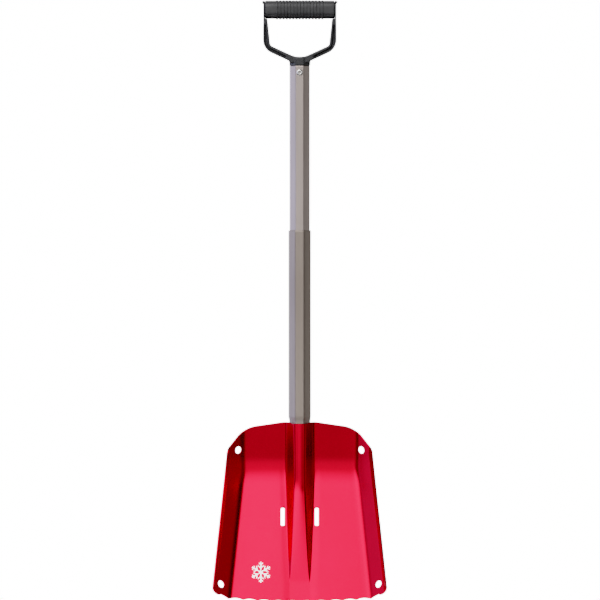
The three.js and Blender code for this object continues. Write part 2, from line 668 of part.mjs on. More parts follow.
function socketBackPlate() {
  const heights = [PLATE_TOP, -620, BEND_TOP, -653, -660, -668, -675, PAD_END, BEND_BOTTOM, -700, PLATE_BOTTOM];
  const rows = heights.map((z) => mirrorRow(plateRow(z)));
  const outline = roundedPath(
    [[-PLATE_HALF_WIDTH + 0.5, PLATE_BOTTOM + 1, 12], [PLATE_HALF_WIDTH - 0.5, PLATE_BOTTOM + 1, 12],
      [PLATE_HALF_WIDTH - 0.5, PLATE_TOP - 1, 8], [-PLATE_HALF_WIDTH + 0.5, PLATE_TOP - 1, 8]],
    true,
    4,
  );
  return toSolid(sheetBehind(rows, PLATE))
    .intersect(plateAlongY(outline, -30, 60))
    .subtract(backHole(BLADE_BUTTON_Z));
}

// ---- Assembly -----------------------------------------------------------------------------

const shovel = new THREE.Group();

function addPiece(parent, name, piece, material) {
  const geometry = piece.isBufferGeometry ? piece : toGeometry(piece);
  const mesh = new THREE.Mesh(geometry, material);
  mesh.name = name;
  parent.add(mesh);
}

const upperTubeWallY = SECTION_HALF_DEPTH - UPPER_TUBE_INSET - WALL;
const reducedWallY = SECTION_HALF_DEPTH - REDUCED_INSET - WALL;

const upperShaft = new THREE.Group();
addPiece(upperShaft, "grip_frame", gripFrame(), NYLON);
addPiece(upperShaft, "grip_sleeve", gripSleeve(), RUBBER);
addPiece(upperShaft, "grip_rivet_front", rivet(-1), BRIGHT);
addPiece(upperShaft, "grip_rivet_rear", rivet(1), BRIGHT);
addPiece(upperShaft, "rivet_mandrel_front", mandrel(-1), STEEL);
addPiece(upperShaft, "rivet_mandrel_rear", mandrel(1), STEEL);
addPiece(upperShaft, "upper_tube", upperTube(), GREY);
addPiece(upperShaft, "upper_tube_end_plug", endPlug(UPPER_TUBE_END, UPPER_TUBE_INSET), PLASTIC);
addPiece(upperShaft, "shaft_button_spring", leafSpring(SHAFT_BUTTON_Z, upperTubeWallY), STEEL);
addPiece(upperShaft, "shaft_lock_button", button(SHAFT_BUTTON_Z, upperTubeWallY, SECTION_HALF_DEPTH), STEEL);

const lowerShaft = new THREE.Group();
addPiece(lowerShaft, "lower_tube", lowerTube(), GREY);
addPiece(lowerShaft, "lower_tube_end_plug", endPlug(LOWER_TUBE_END, REDUCED_INSET), PLASTIC);
addPiece(lowerShaft, "blade_button_spring", leafSpring(BLADE_BUTTON_Z, reducedWallY), STEEL);
addPiece(lowerShaft, "blade_lock_button", button(BLADE_BUTTON_Z, reducedWallY, PAD_Y + PLATE), STEEL);

const bladeGroup = new THREE.Group();
addPiece(bladeGroup, "blade", blade(), RED);
addPiece(bladeGroup, "socket_back_plate", socketBackPlate(), RED);

shovel.add(upperShaft, lowerShaft, bladeGroup);

export default shovel;
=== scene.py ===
"""Visual model of an avalanche shovel: one fine mesh for each visible piece, built round the CAD frame.

Shape functions work in millimetres in the frame's axes: +Z up the shaft, +X to the right and -Y towards
the scoop side. Meshes are made in metres.
"""
import functools
import json
import math

import bmesh
import bpy
import numpy as np
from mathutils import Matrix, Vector
from mathutils.geometry import delaunay_2d_cdt

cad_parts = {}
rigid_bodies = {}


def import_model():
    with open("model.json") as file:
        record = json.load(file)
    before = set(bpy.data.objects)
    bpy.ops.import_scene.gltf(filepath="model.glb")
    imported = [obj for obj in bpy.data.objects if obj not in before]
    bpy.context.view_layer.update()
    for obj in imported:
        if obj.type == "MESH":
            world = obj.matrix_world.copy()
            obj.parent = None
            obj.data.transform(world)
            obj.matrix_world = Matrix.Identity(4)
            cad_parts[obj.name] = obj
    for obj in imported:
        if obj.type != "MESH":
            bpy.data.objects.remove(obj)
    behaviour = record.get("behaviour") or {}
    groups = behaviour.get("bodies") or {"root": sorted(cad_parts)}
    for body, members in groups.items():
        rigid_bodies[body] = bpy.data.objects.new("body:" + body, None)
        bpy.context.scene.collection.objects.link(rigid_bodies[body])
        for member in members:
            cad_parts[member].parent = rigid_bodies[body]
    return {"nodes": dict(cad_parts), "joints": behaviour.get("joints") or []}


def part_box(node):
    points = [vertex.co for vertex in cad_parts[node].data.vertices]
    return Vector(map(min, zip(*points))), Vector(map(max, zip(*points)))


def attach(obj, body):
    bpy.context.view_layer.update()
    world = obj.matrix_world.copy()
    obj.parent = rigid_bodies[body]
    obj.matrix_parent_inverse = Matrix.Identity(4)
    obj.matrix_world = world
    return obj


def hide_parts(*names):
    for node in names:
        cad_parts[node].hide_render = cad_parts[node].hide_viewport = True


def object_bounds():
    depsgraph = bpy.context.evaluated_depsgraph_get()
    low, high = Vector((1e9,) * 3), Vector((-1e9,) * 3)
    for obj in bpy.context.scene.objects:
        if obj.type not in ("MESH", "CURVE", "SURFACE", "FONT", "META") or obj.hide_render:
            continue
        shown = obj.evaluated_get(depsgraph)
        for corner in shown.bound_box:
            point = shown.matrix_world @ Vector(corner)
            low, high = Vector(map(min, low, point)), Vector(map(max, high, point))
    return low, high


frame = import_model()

CAD_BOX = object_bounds()
MM = 0.001
GAP = 0.3  # between touching pieces, in millimetres
X, Y, Z = range(3)


def low(node, axis):
    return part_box(node)[0][axis] / MM


def high(node, axis):
    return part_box(node)[1][axis] / MM


# ---- Camera, floor and light --------------------------------------------------------------

LENS = 600.0
SENSOR = 36.0
VIEW_SIZE = 0.870  # height and width of the view at the shaft, in metres
VIEW_MARGIN = 0.0007  # between the grip's top and the view's
CAMERA_X = 0.0004
FLOOR_Z = CAD_BOX[0].z - 0.12  # clear of the blade when it is slid off its tube
FLOOR_RADIUS = 0.55

# Soft lights all round: azimuth from the scoop side towards +X, elevation, outer and inner half angle
# in degrees, strength and colour.
LIGHTS = {
    "key": (-22, 44, 36, 12, 2.1, (1.0, 1.0, 1.0)),
    "front": (-8, -4, 42, 8, 0.54, (1.0, 1.0, 1.0)),
    "low_front": (-4, 8, 22, 4, 0.38, (1.0, 1.0, 1.0)),
    "left": (-96, 6, 52, 20, 0.78, (0.94, 0.98, 1.3)),
    "left_rear": (-130, -4, 26, 8, 0.24, (0.92, 0.98, 1.15)),
    "far_left_rear": (-158, 6, 26, 8, 0.5, (0.95, 1.0, 1.1)),
    "front_right": (45, 10, 32, 10, 0.14, (1.0, 1.0, 1.0)),
    "right": (85, 10, 38, 14, 0.28, (1.0, 1.0, 1.0)),
    "right_rear": (130, -4, 24, 8, 0.38, (1.0, 0.99, 0.98)),
    "rear": (180, 35, 50, 20, 0.5, (1.0, 1.0, 1.0)),
}
AMBIENT = 0.04
SOFT_BOX_AT = (-26, 46, 2.6)  # azimuth, elevation and distance from the blade
SOFT_BOX_SIZE = (2.0, 1.8)
SOFT_BOX_RADIANCE = 0.35
BLADE_MIDDLE = Vector((0, -0.03, -0.73))
WHITE = 2.0  # the brightness that shows as white

# The picture's tone curve: brightness in, brightness shown.
TONES = (
    (0, 0), (0.02, 0.0), (0.05, 0.016), (0.1, 0.072), (0.2, 0.185), (0.42, 0.4),
    (0.88, 0.72), (1.3, 0.83), (1.8, 0.9), (2, 1),
)


def direction(azimuth, elevation):
    a, e = math.radians(azimuth), math.radians(elevation)
    return Vector((math.sin(a) * math.cos(e), -math.cos(a) * math.cos(e), math.sin(e)))


def add_camera():
    data = bpy.data.cameras.new("camera")
    data.sensor_width = SENSOR
    data.lens = LENS
    camera = bpy.data.objects.new("camera", data)
    bpy.context.scene.collection.objects.link(camera)
    distance = VIEW_SIZE * LENS / SENSOR
    middle = CAD_BOX[1].z - VIEW_SIZE / 2 + VIEW_MARGIN
    camera.location = (CAMERA_X, -distance, middle)
    camera.rotation_euler = (math.radians(90), 0, 0)
    data.clip_end = 100
    bpy.context.scene.camera = camera


def add_floor():
    bm = bmesh.new()
    bmesh.ops.create_circle(bm, cap_ends=True, segments=64, radius=FLOOR_RADIUS)
    bmesh.ops.translate(bm, verts=bm.verts, vec=(0, 0, FLOOR_Z))
    mesh = bpy.data.meshes.new("floor")
    bm.to_mesh(mesh)
    bm.free()
    floor = bpy.data.objects.new("floor", mesh)
    bpy.context.scene.collection.objects.link(floor)
    mesh.materials.append(plain_material("floor", (0.9, 0.9, 0.9), 0.9, glow=0.35))


def add_lobe(tree, place, total, name, settings):
    """Adds one of LIGHTS to the world's total light. Returns the new total."""
    azimuth, elevation, outer, inner, strength, tint = settings
    dot = tree.nodes.new("ShaderNodeVectorMath")
    dot.operation = "DOT_PRODUCT"
    dot.inputs[1].default_value = direction(azimuth, elevation)
    tree.links.new(place, dot.inputs[0])
    lobe = tree.nodes.new("ShaderNodeMapRange")
    lobe.name = name
    lobe.interpolation_type = "SMOOTHSTEP"
    lobe.inputs["From Min"].default_value = math.cos(math.radians(outer))
    lobe.inputs["From Max"].default_value = math.cos(math.radians(inner))
    tree.links.new(dot.outputs["Value"], lobe.inputs["Value"])
    add = tree.nodes.new("ShaderNodeMix")
    add.data_type = "RGBA"
    add.blend_type = "ADD"
    add.inputs[7].default_value = (*(strength * c for c in tint), 1)
    tree.links.new(lobe.outputs["Result"], add.inputs["Factor"])
    tree.links.new(total, add.inputs[6])
    return add.outputs[2]


def add_world():
    """The studio: soft lights on the object, and plain white behind it."""
    world = bpy.data.worlds.new("studio")
    world.use_nodes = True
    bpy.context.scene.world = world
    tree = world.node_tree
    tree.nodes.clear()
    place = tree.nodes.new("ShaderNodeTexCoord").outputs["Generated"]
    total = tree.nodes.new("ShaderNodeRGB").outputs[0]
    total.default_value = (AMBIENT, AMBIENT, AMBIENT, 1)
    for name, settings in LIGHTS.items():
        total = add_lobe(tree, place, total, name, settings)
    light = tree.nodes.new("ShaderNodeBackground")
    tree.links.new(total, light.inputs["Color"])
    white = tree.nodes.new("ShaderNodeBackground")
    white.inputs["Color"].default_value = (WHITE, WHITE, WHITE, 1)
    mix = tree.nodes.new("ShaderNodeMixShader")
    path = tree.nodes.new("ShaderNodeLightPath")
    tree.links.new(path.outputs["Is Camera Ray"], mix.inputs[0])
    tree.links.new(light.outputs[0], mix.inputs[1])
    tree.links.new(white.outputs[0], mix.inputs[2])
    output = tree.nodes.new("ShaderNodeOutputWorld")
    tree.links.new(mix.outputs[0], output.inputs["Surface"])


def add_soft_box():
    """The main light, up in front of the blade and a little to the left."""
    azimuth, elevation, distance = SOFT_BOX_AT
    data = bpy.data.lights.new("soft_box", "AREA")
    data.shape = "RECTANGLE"
    data.size, data.size_y = SOFT_BOX_SIZE
    data.energy = SOFT_BOX_RADIANCE * math.pi * data.size * data.size_y
    lamp = bpy.data.objects.new("soft_box", data)
    away = direction(azimuth, elevation)
    lamp.location = BLADE_MIDDLE + away * distance
    lamp.rotation_euler = away.to_track_quat("Z", "Y").to_euler()
    bpy.context.scene.collection.objects.link(lamp)


def set_tones():
    view = bpy.context.scene.view_settings
    view.view_transform = "Standard"
    view.use_curve_mapping = True
    mapping = view.curve_mapping
    mapping.white_level = (WHITE, WHITE, WHITE)
    mapping.extend = "HORIZONTAL"
    points = mapping.curves[3].points
    for brightness, shown in TONES[1:-1]:
        points.new(brightness / WHITE, shown)
    mapping.update()


# ---- Materials ----------------------------------------------------------------------------


def plain_material(name, colour, roughness, metallic=0.0, glow=0.0):
    """A Principled material with its constants on the shader's own sockets."""
    material = bpy.data.materials.new(name)
    material.use_nodes = True
    shader = material.node_tree.nodes["Principled BSDF"]
    shader.inputs["Base Color"].default_value = (*colour, 1)
    shader.inputs["Roughness"].default_value = roughness
    shader.inputs["Metallic"].default_value = metallic
    if glow:
        shader.inputs["Emission Color"].default_value = (*colour, 1)
        shader.inputs["Emission Strength"].default_value = glow
    return material


NOISE_LOW, NOISE_HIGH = 0.3, 0.7  # most of a noise lies between these


class Finish:
    """Node helpers for one material whose patterns follow the piece's own coordinates."""

    def __init__(self, name, colour, roughness, metallic=0.0):
        self.material = plain_material(name, colour, roughness, metallic)
        self.nodes = self.material.node_tree.nodes
        self.links = self.material.node_tree.links
        self.shader = self.nodes["Principled BSDF"]
        self.place = self.nodes.new("ShaderNodeTexCoord").outputs["Object"]

    def set(self, socket, value):
        self.shader.inputs[socket].default_value = value
        return self

    def noise(self, scale, detail=2.0, stretch=(1, 1, 1)):
        """Noise with about scale cells to the metre, drawn out where stretch is under 1."""
        mapping = self.nodes.new("ShaderNodeMapping")
        mapping.inputs["Scale"].default_value = stretch
        self.links.new(self.place, mapping.inputs["Vector"])
        noise = self.nodes.new("ShaderNodeTexNoise")
        noise.inputs["Scale"].default_value = scale
        noise.inputs["Detail"].default_value = detail
        self.links.new(mapping.outputs[0], noise.inputs["Vector"])
        return noise.outputs["Fac"]

    def ranged(self, noise, lowest, highest):
        """A noise, spread from lowest to highest."""
        node = self.nodes.new("ShaderNodeMapRange")
        limits = {"From Min": NOISE_LOW, "From Max": NOISE_HIGH, "To Min": lowest, "To Max": highest}
        for socket, number in limits.items():
            node.inputs[socket].default_value = number
        self.links.new(noise, node.inputs["Value"])
        return node.outputs["Result"]

    def roughness(self, value):
        self.links.new(value, self.shader.inputs["Roughness"])
        return self

    def colour(self, factor, first, second):
        """The base colour, mixed from first to second by factor."""
        mix = self.nodes.new("ShaderNodeMix")
        mix.data_type = "RGBA"
        mix.inputs[6].default_value = (*first, 1)
        mix.inputs[7].default_value = (*second, 1)
        self.links.new(factor, mix.inputs["Factor"])
        self.links.new(mix.outputs[2], self.shader.inputs["Base Color"])
        return self

    def bump(self, height, distance_mm):
        node = self.nodes.new("ShaderNodeBump")
        node.inputs["Distance"].default_value = distance_mm * MM
        self.links.new(height, node.inputs["Height"])
        self.links.new(node.outputs["Normal"], self.shader.inputs["Normal"])
        return self


def red_anodised():
    """Rolled sheet, etched and dyed: fine grain along the rolling direction and a soft satin gloss."""
    finish = Finish("red_anodised", (0.76, 0.0015, 0.033), 0.25, metallic=1.0)
    finish.set("Coat Weight", 0.85).set("Coat Roughness", 0.2)
    grain = finish.noise(1500, 3, stretch=(1, 1, 0.06))
    clouds = finish.noise(14, 2)
    finish.colour(finish.ranged(clouds, 0, 1), (0.73, 0.001, 0.031), (0.79, 0.002, 0.035))
    finish.roughness(finish.ranged(grain, 0.2, 0.28))
    return finish.bump(grain, 0.004).material


def grey_anodised(name, dark, light):
    """Drawn tube: fine die lines along its length."""
    finish = Finish(name, light, 0.32, metallic=1.0)
    lines = finish.noise(1100, 3, stretch=(1, 1, 0.01))
    clouds = finish.noise(20, 2, stretch=(1, 1, 0.3))
    finish.colour(finish.ranged(clouds, 0, 1), dark, light)
    finish.roughness(finish.ranged(lines, 0.38, 0.5))
    return finish.bump(lines, 0.006).material


def moulded_nylon():
    """Glass-filled nylon with a fine spark-eroded skin."""
    finish = Finish("moulded_nylon", (0.105, 0.105, 0.106), 0.4)
    skin = finish.noise(2200, 2)
    flow = finish.noise(60, 2)
    finish.colour(finish.ranged(flow, 0, 1), (0.098, 0.098, 0.1), (0.112, 0.112, 0.114))
    finish.roughness(finish.ranged(skin, 0.36, 0.48))
    return finish.bump(skin, 0.02).material


def ribbed_rubber():
    """Matt rubber, a little dusty."""
    finish = Finish("ribbed_rubber", (0.125, 0.125, 0.126), 0.34)
    skin = finish.noise(1600, 3)
    dust = finish.noise(90, 3)
    finish.colour(finish.ranged(dust, 0, 1), (0.115, 0.115, 0.116), (0.135, 0.135, 0.136))
    finish.roughness(finish.ranged(skin, 0.3, 0.4))
    return finish.bump(skin, 0.02).material


def bright_aluminium():
    """Bare aluminium, faintly turned."""
    finish = Finish("bright_aluminium", (0.86, 0.85, 0.83), 0.25, metallic=1.0)
    turned = finish.noise(1800, 2)
    finish.roughness(finish.ranged(turned, 0.2, 0.34))
    return finish.bump(turned, 0.004).material


def stainless_steel():
    """Plain steel with fine scratches."""
    finish = Finish("stainless_steel", (0.62, 0.61, 0.6), 0.28, metallic=1.0)
    scratches = finish.noise(1500, 3, stretch=(1, 0.1, 1))
    finish.roughness(finish.ranged(scratches, 0.22, 0.38))
    return finish.bump(scratches, 0.005).material


def plug_plastic():
    finish = Finish("plug_plastic", (0.035, 0.035, 0.036), 0.55)
    skin = finish.noise(1200, 2)
    finish.roughness(finish.ranged(skin, 0.5, 0.62))
    return finish.bump(skin, 0.02).material


def white_print():
    """Screen-printed ink, slightly uneven."""
    finish = Finish("white_print", (0.9, 0.9, 0.9), 0.42, metallic=0.75)
    ink = finish.noise(1500, 3)
    finish.colour(finish.ranged(ink, 0, 1), (0.9, 0.9, 0.9), (0.97, 0.97, 0.97))
    return finish.bump(ink, 0.006).material


# ---- Meshes -------------------------------------------------------------------------------

SMOOTH_ANGLE = math.radians(32)


def in_metres(bm):
    """Scales a bmesh in millimetres, and turns its faces outwards."""
    bmesh.ops.scale(bm, verts=bm.verts, vec=(MM, MM, MM))
    bmesh.ops.recalc_face_normals(bm, faces=bm.faces)


def mesh_of(bm, name):
    mesh = bpy.data.meshes.new(name)
    bm.to_mesh(mesh)
    bm.free()
    return mesh


def finish_mesh(bm, name):
    """Turns a bmesh in millimetres into a mesh in metres, smooth-shaded between its sharp edges."""
    in_metres(bm)
    for face in bm.faces:
        face.smooth = True
    for edge in bm.edges:
        edge.smooth = len(edge.link_faces) == 2 and edge.calc_face_angle(0) < SMOOTH_ANGLE
    return mesh_of(bm, name)


def add_piece(name, mesh, material, body, nodes=()):
    """Adds a mesh as a piece that rides on a body and replaces the CAD nodes."""
    mesh.materials.clear()
    mesh.materials.append(material)
    piece = bpy.data.objects.new(name, mesh)
    bpy.context.scene.collection.objects.link(piece)
    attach(piece, body)
    if nodes:
        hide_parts(*nodes)
    return piece


def bmesh_of(vertices, faces):
    bm = bmesh.new()
    made = [bm.verts.new(v) for v in vertices]
    for face in faces:
        bm.faces.new([made[i] for i in face])
    return bm


def lathe(profile, sides, place):
    """A closed body turned about Y from (radius, y) points, then moved by place."""
    rings = []
    bm = bmesh.new()
    for radius, along in profile:
        count = sides if radius > 1e-6 else 1
        angles = [2 * math.pi * k / sides for k in range(count)]
        rings.append([bm.verts.new((radius * math.cos(a), along, radius * math.sin(a))) for a in angles])
    for ring, following in zip(rings, rings[1:]):
        for k in range(sides):
            corners = [ring[k % len(ring)], ring[(k + 1) % len(ring)]]
            corners += [following[(k + 1) % len(following)], following[k % len(following)]]
            unique = list(dict.fromkeys(corners))
            if len(unique) > 2:
                bm.faces.new(unique)
    if profile[0] == profile[-1]:
        bmesh.ops.remove_doubles(bm, verts=bm.verts, dist=1e-6)
    bmesh.ops.translate(bm, verts=bm.verts, vec=place)
    return bm


def rounded_path(corners, closed, steps):
    """The points of a path whose corners (x, y, radius) are rounded with arcs."""
    out = []
    for i, corner in enumerate(corners):
        here, radius = Vector(corner[:2]), corner[2] if len(corner) > 2 else 0
        if not radius or (not closed and i in (0, len(corners) - 1)):
            out.append(tuple(here))
            continue
        to = (Vector(corners[i - 1][:2]) - here).normalized()
        on = (Vector(corners[(i + 1) % len(corners)][:2]) - here).normalized()
        half = to.angle(on) / 2
        centre = here + (to + on).normalized() * radius / math.sin(half)
        start = here + to * radius / math.tan(half) - centre
        turn = math.copysign(math.pi - 2 * half, on.cross(to))
        for k in range(steps + 1):
            a = turn * k / steps
            c, s = math.cos(a), math.sin(a)
            out.append((centre.x + start.x * c - start.y * s, centre.y + start.x * s + start.y * c))
    return out


def subdivided(points, step):
    """A closed loop of points with none further apart than step."""
    out = []
    for a, b in zip(points, points[1:] + points[:1]):
        count = max(1, math.ceil(math.dist(a, b) / step))
        x, y = b[0] - a[0], b[1] - a[1]
        out += [(a[0] + x * k / count, a[1] + y * k / count) for k in range(count)]
    return out


def inside(points, loop):
    """Which points of an array lie inside a closed loop."""
    result = np.zeros(len(points), bool)
    x, y = points[:, 0], points[:, 1]
    for (x0, y0), (x1, y1) in zip(loop, loop[1:] + loop[:1]):
        crosses = (y0 > y) != (y1 > y)
        at = x0 + (y - y0) * (x1 - x0) / ((y1 - y0) or 1)
        result ^= crosses & (x < at)
    return result


def distance_to(points, loop):
    """The distance of each point of an array from a closed loop."""
    nearest = np.full(len(points), 1e9)
    for a, b in zip(loop, loop[1:] + loop[:1]):
        a, b = np.array(a), np.array(b)
        share = np.clip((points - a) @ (b - a) / max((b - a) @ (b - a), 1e-12), 0, 1)
        nearest = np.minimum(nearest, np.linalg.norm(points - a - share[:, None] * (b - a), axis=1))
    return nearest


def flat_triangles(columns, rows, outline, holes, clear):
    """Triangles inside outline and outside holes, on a grid where it is clear of them."""
    grid = np.array([(t, z) for z in rows for t in columns], float)
    keep = inside(grid, outline) & (distance_to(grid, outline) > clear)
    for hole in holes:
        keep &= ~inside(grid, hole) & (distance_to(grid, hole) > clear)
    points, edges = [tuple(p) for p in grid[keep]], []
    for loop in (outline, *holes):
        first = len(points)
        points += loop
        edges += [(first + k, first + (k + 1) % len(loop)) for k in range(len(loop))]
    made, _, triangles, *_ = delaunay_2d_cdt([Vector(p) for p in points], edges, [], 1, 1e-5)
    flat = np.array([tuple(p) for p in made])
    triangles = np.array(triangles)
    middles = flat[triangles].mean(axis=1)
    kept = inside(middles, outline)
    for hole in holes:
        kept &= ~inside(middles, hole)
    return flat, triangles[kept]


RIM_STEPS = 4


def shell(faces_at, columns, rows, outline, holes=(), *, clear, seam=False, bulge=0.4):
    """A thin wall over a flat area. faces_at(flat) gives the front and back points; edges are rounded.

    With seam, the area's left and right sides meet, as on a tube.
    """
    flat, triangles = flat_triangles(columns, rows, outline, list(holes), clear)
    front, back = faces_at(flat)
    if seam:
        triangles, keep = welded(front, triangles)
        front, back = front[keep], back[keep]
    directed = np.concatenate([triangles[:, [0, 1]], triangles[:, [1, 2]], triangles[:, [2, 0]]])
    both_ways = set(map(tuple, directed.tolist()))
    border = [(a, b) for a, b in directed.tolist() if (b, a) not in both_ways]
    out = rim_directions(front, back, border)
    count = len(front)
    vertices = [*front, *back]
    ring = {}
    for v in {a for a, _ in border}:
        ring[v] = [v]
        for k in range(1, RIM_STEPS):
            angle = math.pi * k / RIM_STEPS
            across = front[v] + (back[v] - front[v]) * (1 - math.cos(angle)) / 2
            ring[v].append(len(vertices))
            vertices.append(across + out[v] * bulge * math.sin(angle))
        ring[v].append(count + v)
    faces = triangles.tolist() + [[count + c, count + b, count + a] for a, b, c in triangles.tolist()]
    for a, b in border:
        for k in range(RIM_STEPS):
            faces.append([ring[b][k], ring[a][k], ring[a][k + 1], ring[b][k + 1]])
    return bmesh_of(vertices, faces)


def welded(points, triangles):
    """Triangles whose coinciding points are made one, and which points to keep."""
    rounded = np.round(points, 4) + 0.0
    _, keep, same = np.unique(rounded, axis=0, return_index=True, return_inverse=True)
    return same.reshape(-1)[triangles], keep


def rim_directions(front, back, border):
    """The direction out of the wall at each border point."""
    out = {}
    for a, b in border:
        along = front[b] - front[a]
        through = (back[a] - front[a]) + (back[b] - front[b])
        side = np.cross(through, along)
        side /= max(np.linalg.norm(side), 1e-12)
        for v in (a, b):
            out[v] = out.get(v, 0) + side
    return {v: side / max(np.linalg.norm(side), 1e-12) for v, side in out.items()}


# ---- Shaft section ------------------------------------------------------------------------

HALF_DEPTH = high("lower_tube", Y)
FRONT_HALF, BACK_HALF = 7.3, 19.6
FRONT_RADIUS, BACK_RADIUS = 4.0, 7.0
LEAN = (BACK_HALF - FRONT_HALF) / (2 * HALF_DEPTH)
SIDE_ANGLE = -math.atan(LEAN)
WALL = 1.2
ARC_STEPS = 10


def side_x(y, inset):
    """Half width of the section at depth y, for a surface that lies inset inside the lower tube's."""
    return FRONT_HALF + (y + HALF_DEPTH) * LEAN - inset * math.hypot(1, LEAN)


def corner_arc(inset, front, steps=ARC_STEPS):
    radius = max((FRONT_RADIUS if front else BACK_RADIUS) - inset, 0.4)
    y = (-1 if front else 1) * (HALF_DEPTH - inset - radius)
    x = side_x(y, inset + radius)
    ends = (-math.pi / 2, SIDE_ANGLE) if front else (SIDE_ANGLE, math.pi / 2)
    angles = np.linspace(*ends, steps + 1)
    return np.column_stack([x + radius * np.cos(angles), y + radius * np.sin(angles)])


def between(a, b, count):
    """count points from a towards b, without b."""
    share = np.arange(count)[:, None] / count
    return np.asarray(a) * (1 - share) + np.asarray(b) * share


@functools.lru_cache(None)
def section(inset):
    """The whole section as points from the middle of the front round to it again."""
    front, back = corner_arc(inset, True), corner_arc(inset, False)
    right = np.concatenate([
        between((0, front[0][1]), front[0], 4),
        front[:-1],
        between(front[-1], back[0], 8),
        back[:-1],
        between(back[-1], (0, back[-1][1]), 8),
    ])
    left = right[::-1] * (-1, 1)
    middle_back = np.array([[0, back[-1][1]]])
    return np.concatenate([right, middle_back, left])


def round_coordinate():
    """The distance round the section at each of its points, at inset 0."""
    points = section(0.0)
    steps = np.linalg.norm(np.diff(points, axis=0), axis=1)
    return np.concatenate([[0], np.cumsum(steps)])


ROUND = round_coordinate()
REAR = ROUND[len(ROUND) // 2]  # the middle of the section's back


def section_at(flat, insets):
    """Points on the section at distances flat[:, 0] round it, at heights flat[:, 1]."""
    out = np.zeros((len(flat), 3))
    for k, ((t, z), inset) in enumerate(zip(flat, insets)):
        points = section(round(float(inset), 4))
        out[k] = (np.interp(t, ROUND, points[:, 0]), np.interp(t, ROUND, points[:, 1]), z)
    return out


BUTTON_HOLE = 4.8  # radius
BUTTON_HOLE_SIDES = 40


def button_hole(x, z):
    angles = [2 * math.pi * k / BUTTON_HOLE_SIDES for k in range(BUTTON_HOLE_SIDES)]
    return [(x + BUTTON_HOLE * math.cos(a), z + BUTTON_HOLE * math.sin(a)) for a in angles]


def tube(bottom, top, outer_inset, inner_inset, rows, hole_heights):
    """A tube between two heights. The insets are functions of height; holes are in its back."""
    columns = ROUND[1:-1]
    sides = sorted({bottom, *[z for z in rows if bottom < z < top], top})
    outline = [(0, z) for z in sides[::-1]] + [(t, bottom) for t in columns]
    outline += [(ROUND[-1], z) for z in sides] + [(t, top) for t in columns[::-1]]
    outline = [(float(t), float(z)) for t, z in outline]
    holes = [button_hole(REAR, z) for z in hole_heights]

    def faces_at(flat):
        outer = section_at(flat, [outer_inset(z) for z in flat[:, 1]])
        inner = section_at(flat, [inner_inset(z) for z in flat[:, 1]])
        return outer, inner

    return shell(faces_at, columns, sides[1:-1], outline, holes, clear=0.25, seam=True, bulge=0.12)


# ---- Tubes --------------------------------------------------------------------------------

MOUTH = high("lower_tube", Z)
LOWER_END = low("lower_tube", Z)
UPPER_END = low("upper_tube", Z)
UPPER_TOP = high("upper_tube", Z)
SHAFT_BUTTON_Z = (low("shaft_lock_button", Z) + high("shaft_lock_button", Z)) / 2
BLADE_BUTTON_Z = (low("blade_lock_button", Z) + high("blade_lock_button", Z)) / 2
TRAVEL = next(j for j in frame["joints"] if j["name"] == "telescope")["range_m"][1] / MM
UPPER_INSET = 1.5
REDUCED_INSET = 1.0
SWAGE_TOP, SWAGE_BOTTOM = -589.0, -597.0
LIP = 1.6  # the height over which a tube's end is rolled in
STOP_RING_Z = MOUTH + 8.5
STOP_RING_DEPTH = 0.12


def smooth(t):
    t = min(max(t, 0.0), 1.0)
    return t * t * (3 - 2 * t)


def rolled_in(distance, depth):
    """How far a surface is rolled in at a distance from its end."""
    share = min(max(1 - distance / LIP, 0.0), 1.0)
    return depth * (1 - math.sqrt(1 - share * share))


def near(centre, *offsets):
    return [centre + d for d in offsets]


def upper_tube():
    def outer(z):
        ring = max(0.0, 1 - abs(z - STOP_RING_Z) / 0.6)
        return UPPER_INSET + STOP_RING_DEPTH * smooth(ring) + rolled_in(UPPER_TOP - z, 0.35)

    rows = [*np.arange(UPPER_END, UPPER_TOP, 6.0), *near(STOP_RING_Z, -0.9, -0.5, -0.2, 0.2, 0.5, 0.9)]
    rows += near(UPPER_TOP, -0.2, -0.6, -1.1, -1.8)
    bm = tube(UPPER_END, UPPER_TOP, outer, lambda z: UPPER_INSET + WALL, rows, [SHAFT_BUTTON_Z])
    mesh = finish_mesh(bm, "upper_tube_skin")
    material = grey_anodised("grey_anodised_light", (0.57, 0.505, 0.475), (0.63, 0.56, 0.525))
    add_piece("upper_tube_skin", mesh, material, "upper_shaft", ["upper_tube"])


def lower_tube():
    def swage(z):
        return REDUCED_INSET * smooth((SWAGE_TOP - z) / (SWAGE_TOP - SWAGE_BOTTOM))

    def outer(z):
        return swage(z) + rolled_in(MOUTH - z, 0.8) + rolled_in(z - LOWER_END, 0.4)

    rows = [*np.arange(LOWER_END, MOUTH, 6.0), *np.linspace(SWAGE_BOTTOM, SWAGE_TOP, 9)]
    rows += near(MOUTH, -0.12, -0.4, -0.8, -1.3, -2.2) + near(LOWER_END, 0.2, 0.6, 1.1, 1.8)
    heights = [SHAFT_BUTTON_Z, SHAFT_BUTTON_Z - TRAVEL, BLADE_BUTTON_Z]
    bm = tube(LOWER_END, MOUTH, outer, lambda z: swage(z) + WALL, rows, heights)
    mesh = finish_mesh(bm, "lower_tube_skin")
    material = grey_anodised("grey_anodised_dark", (0.44, 0.385, 0.345), (0.5, 0.44, 0.395))
    add_piece("lower_tube_skin", mesh, material, "lower_shaft", ["lower_tube"])


# ---- Blade --------------------------------------------------------------------------------

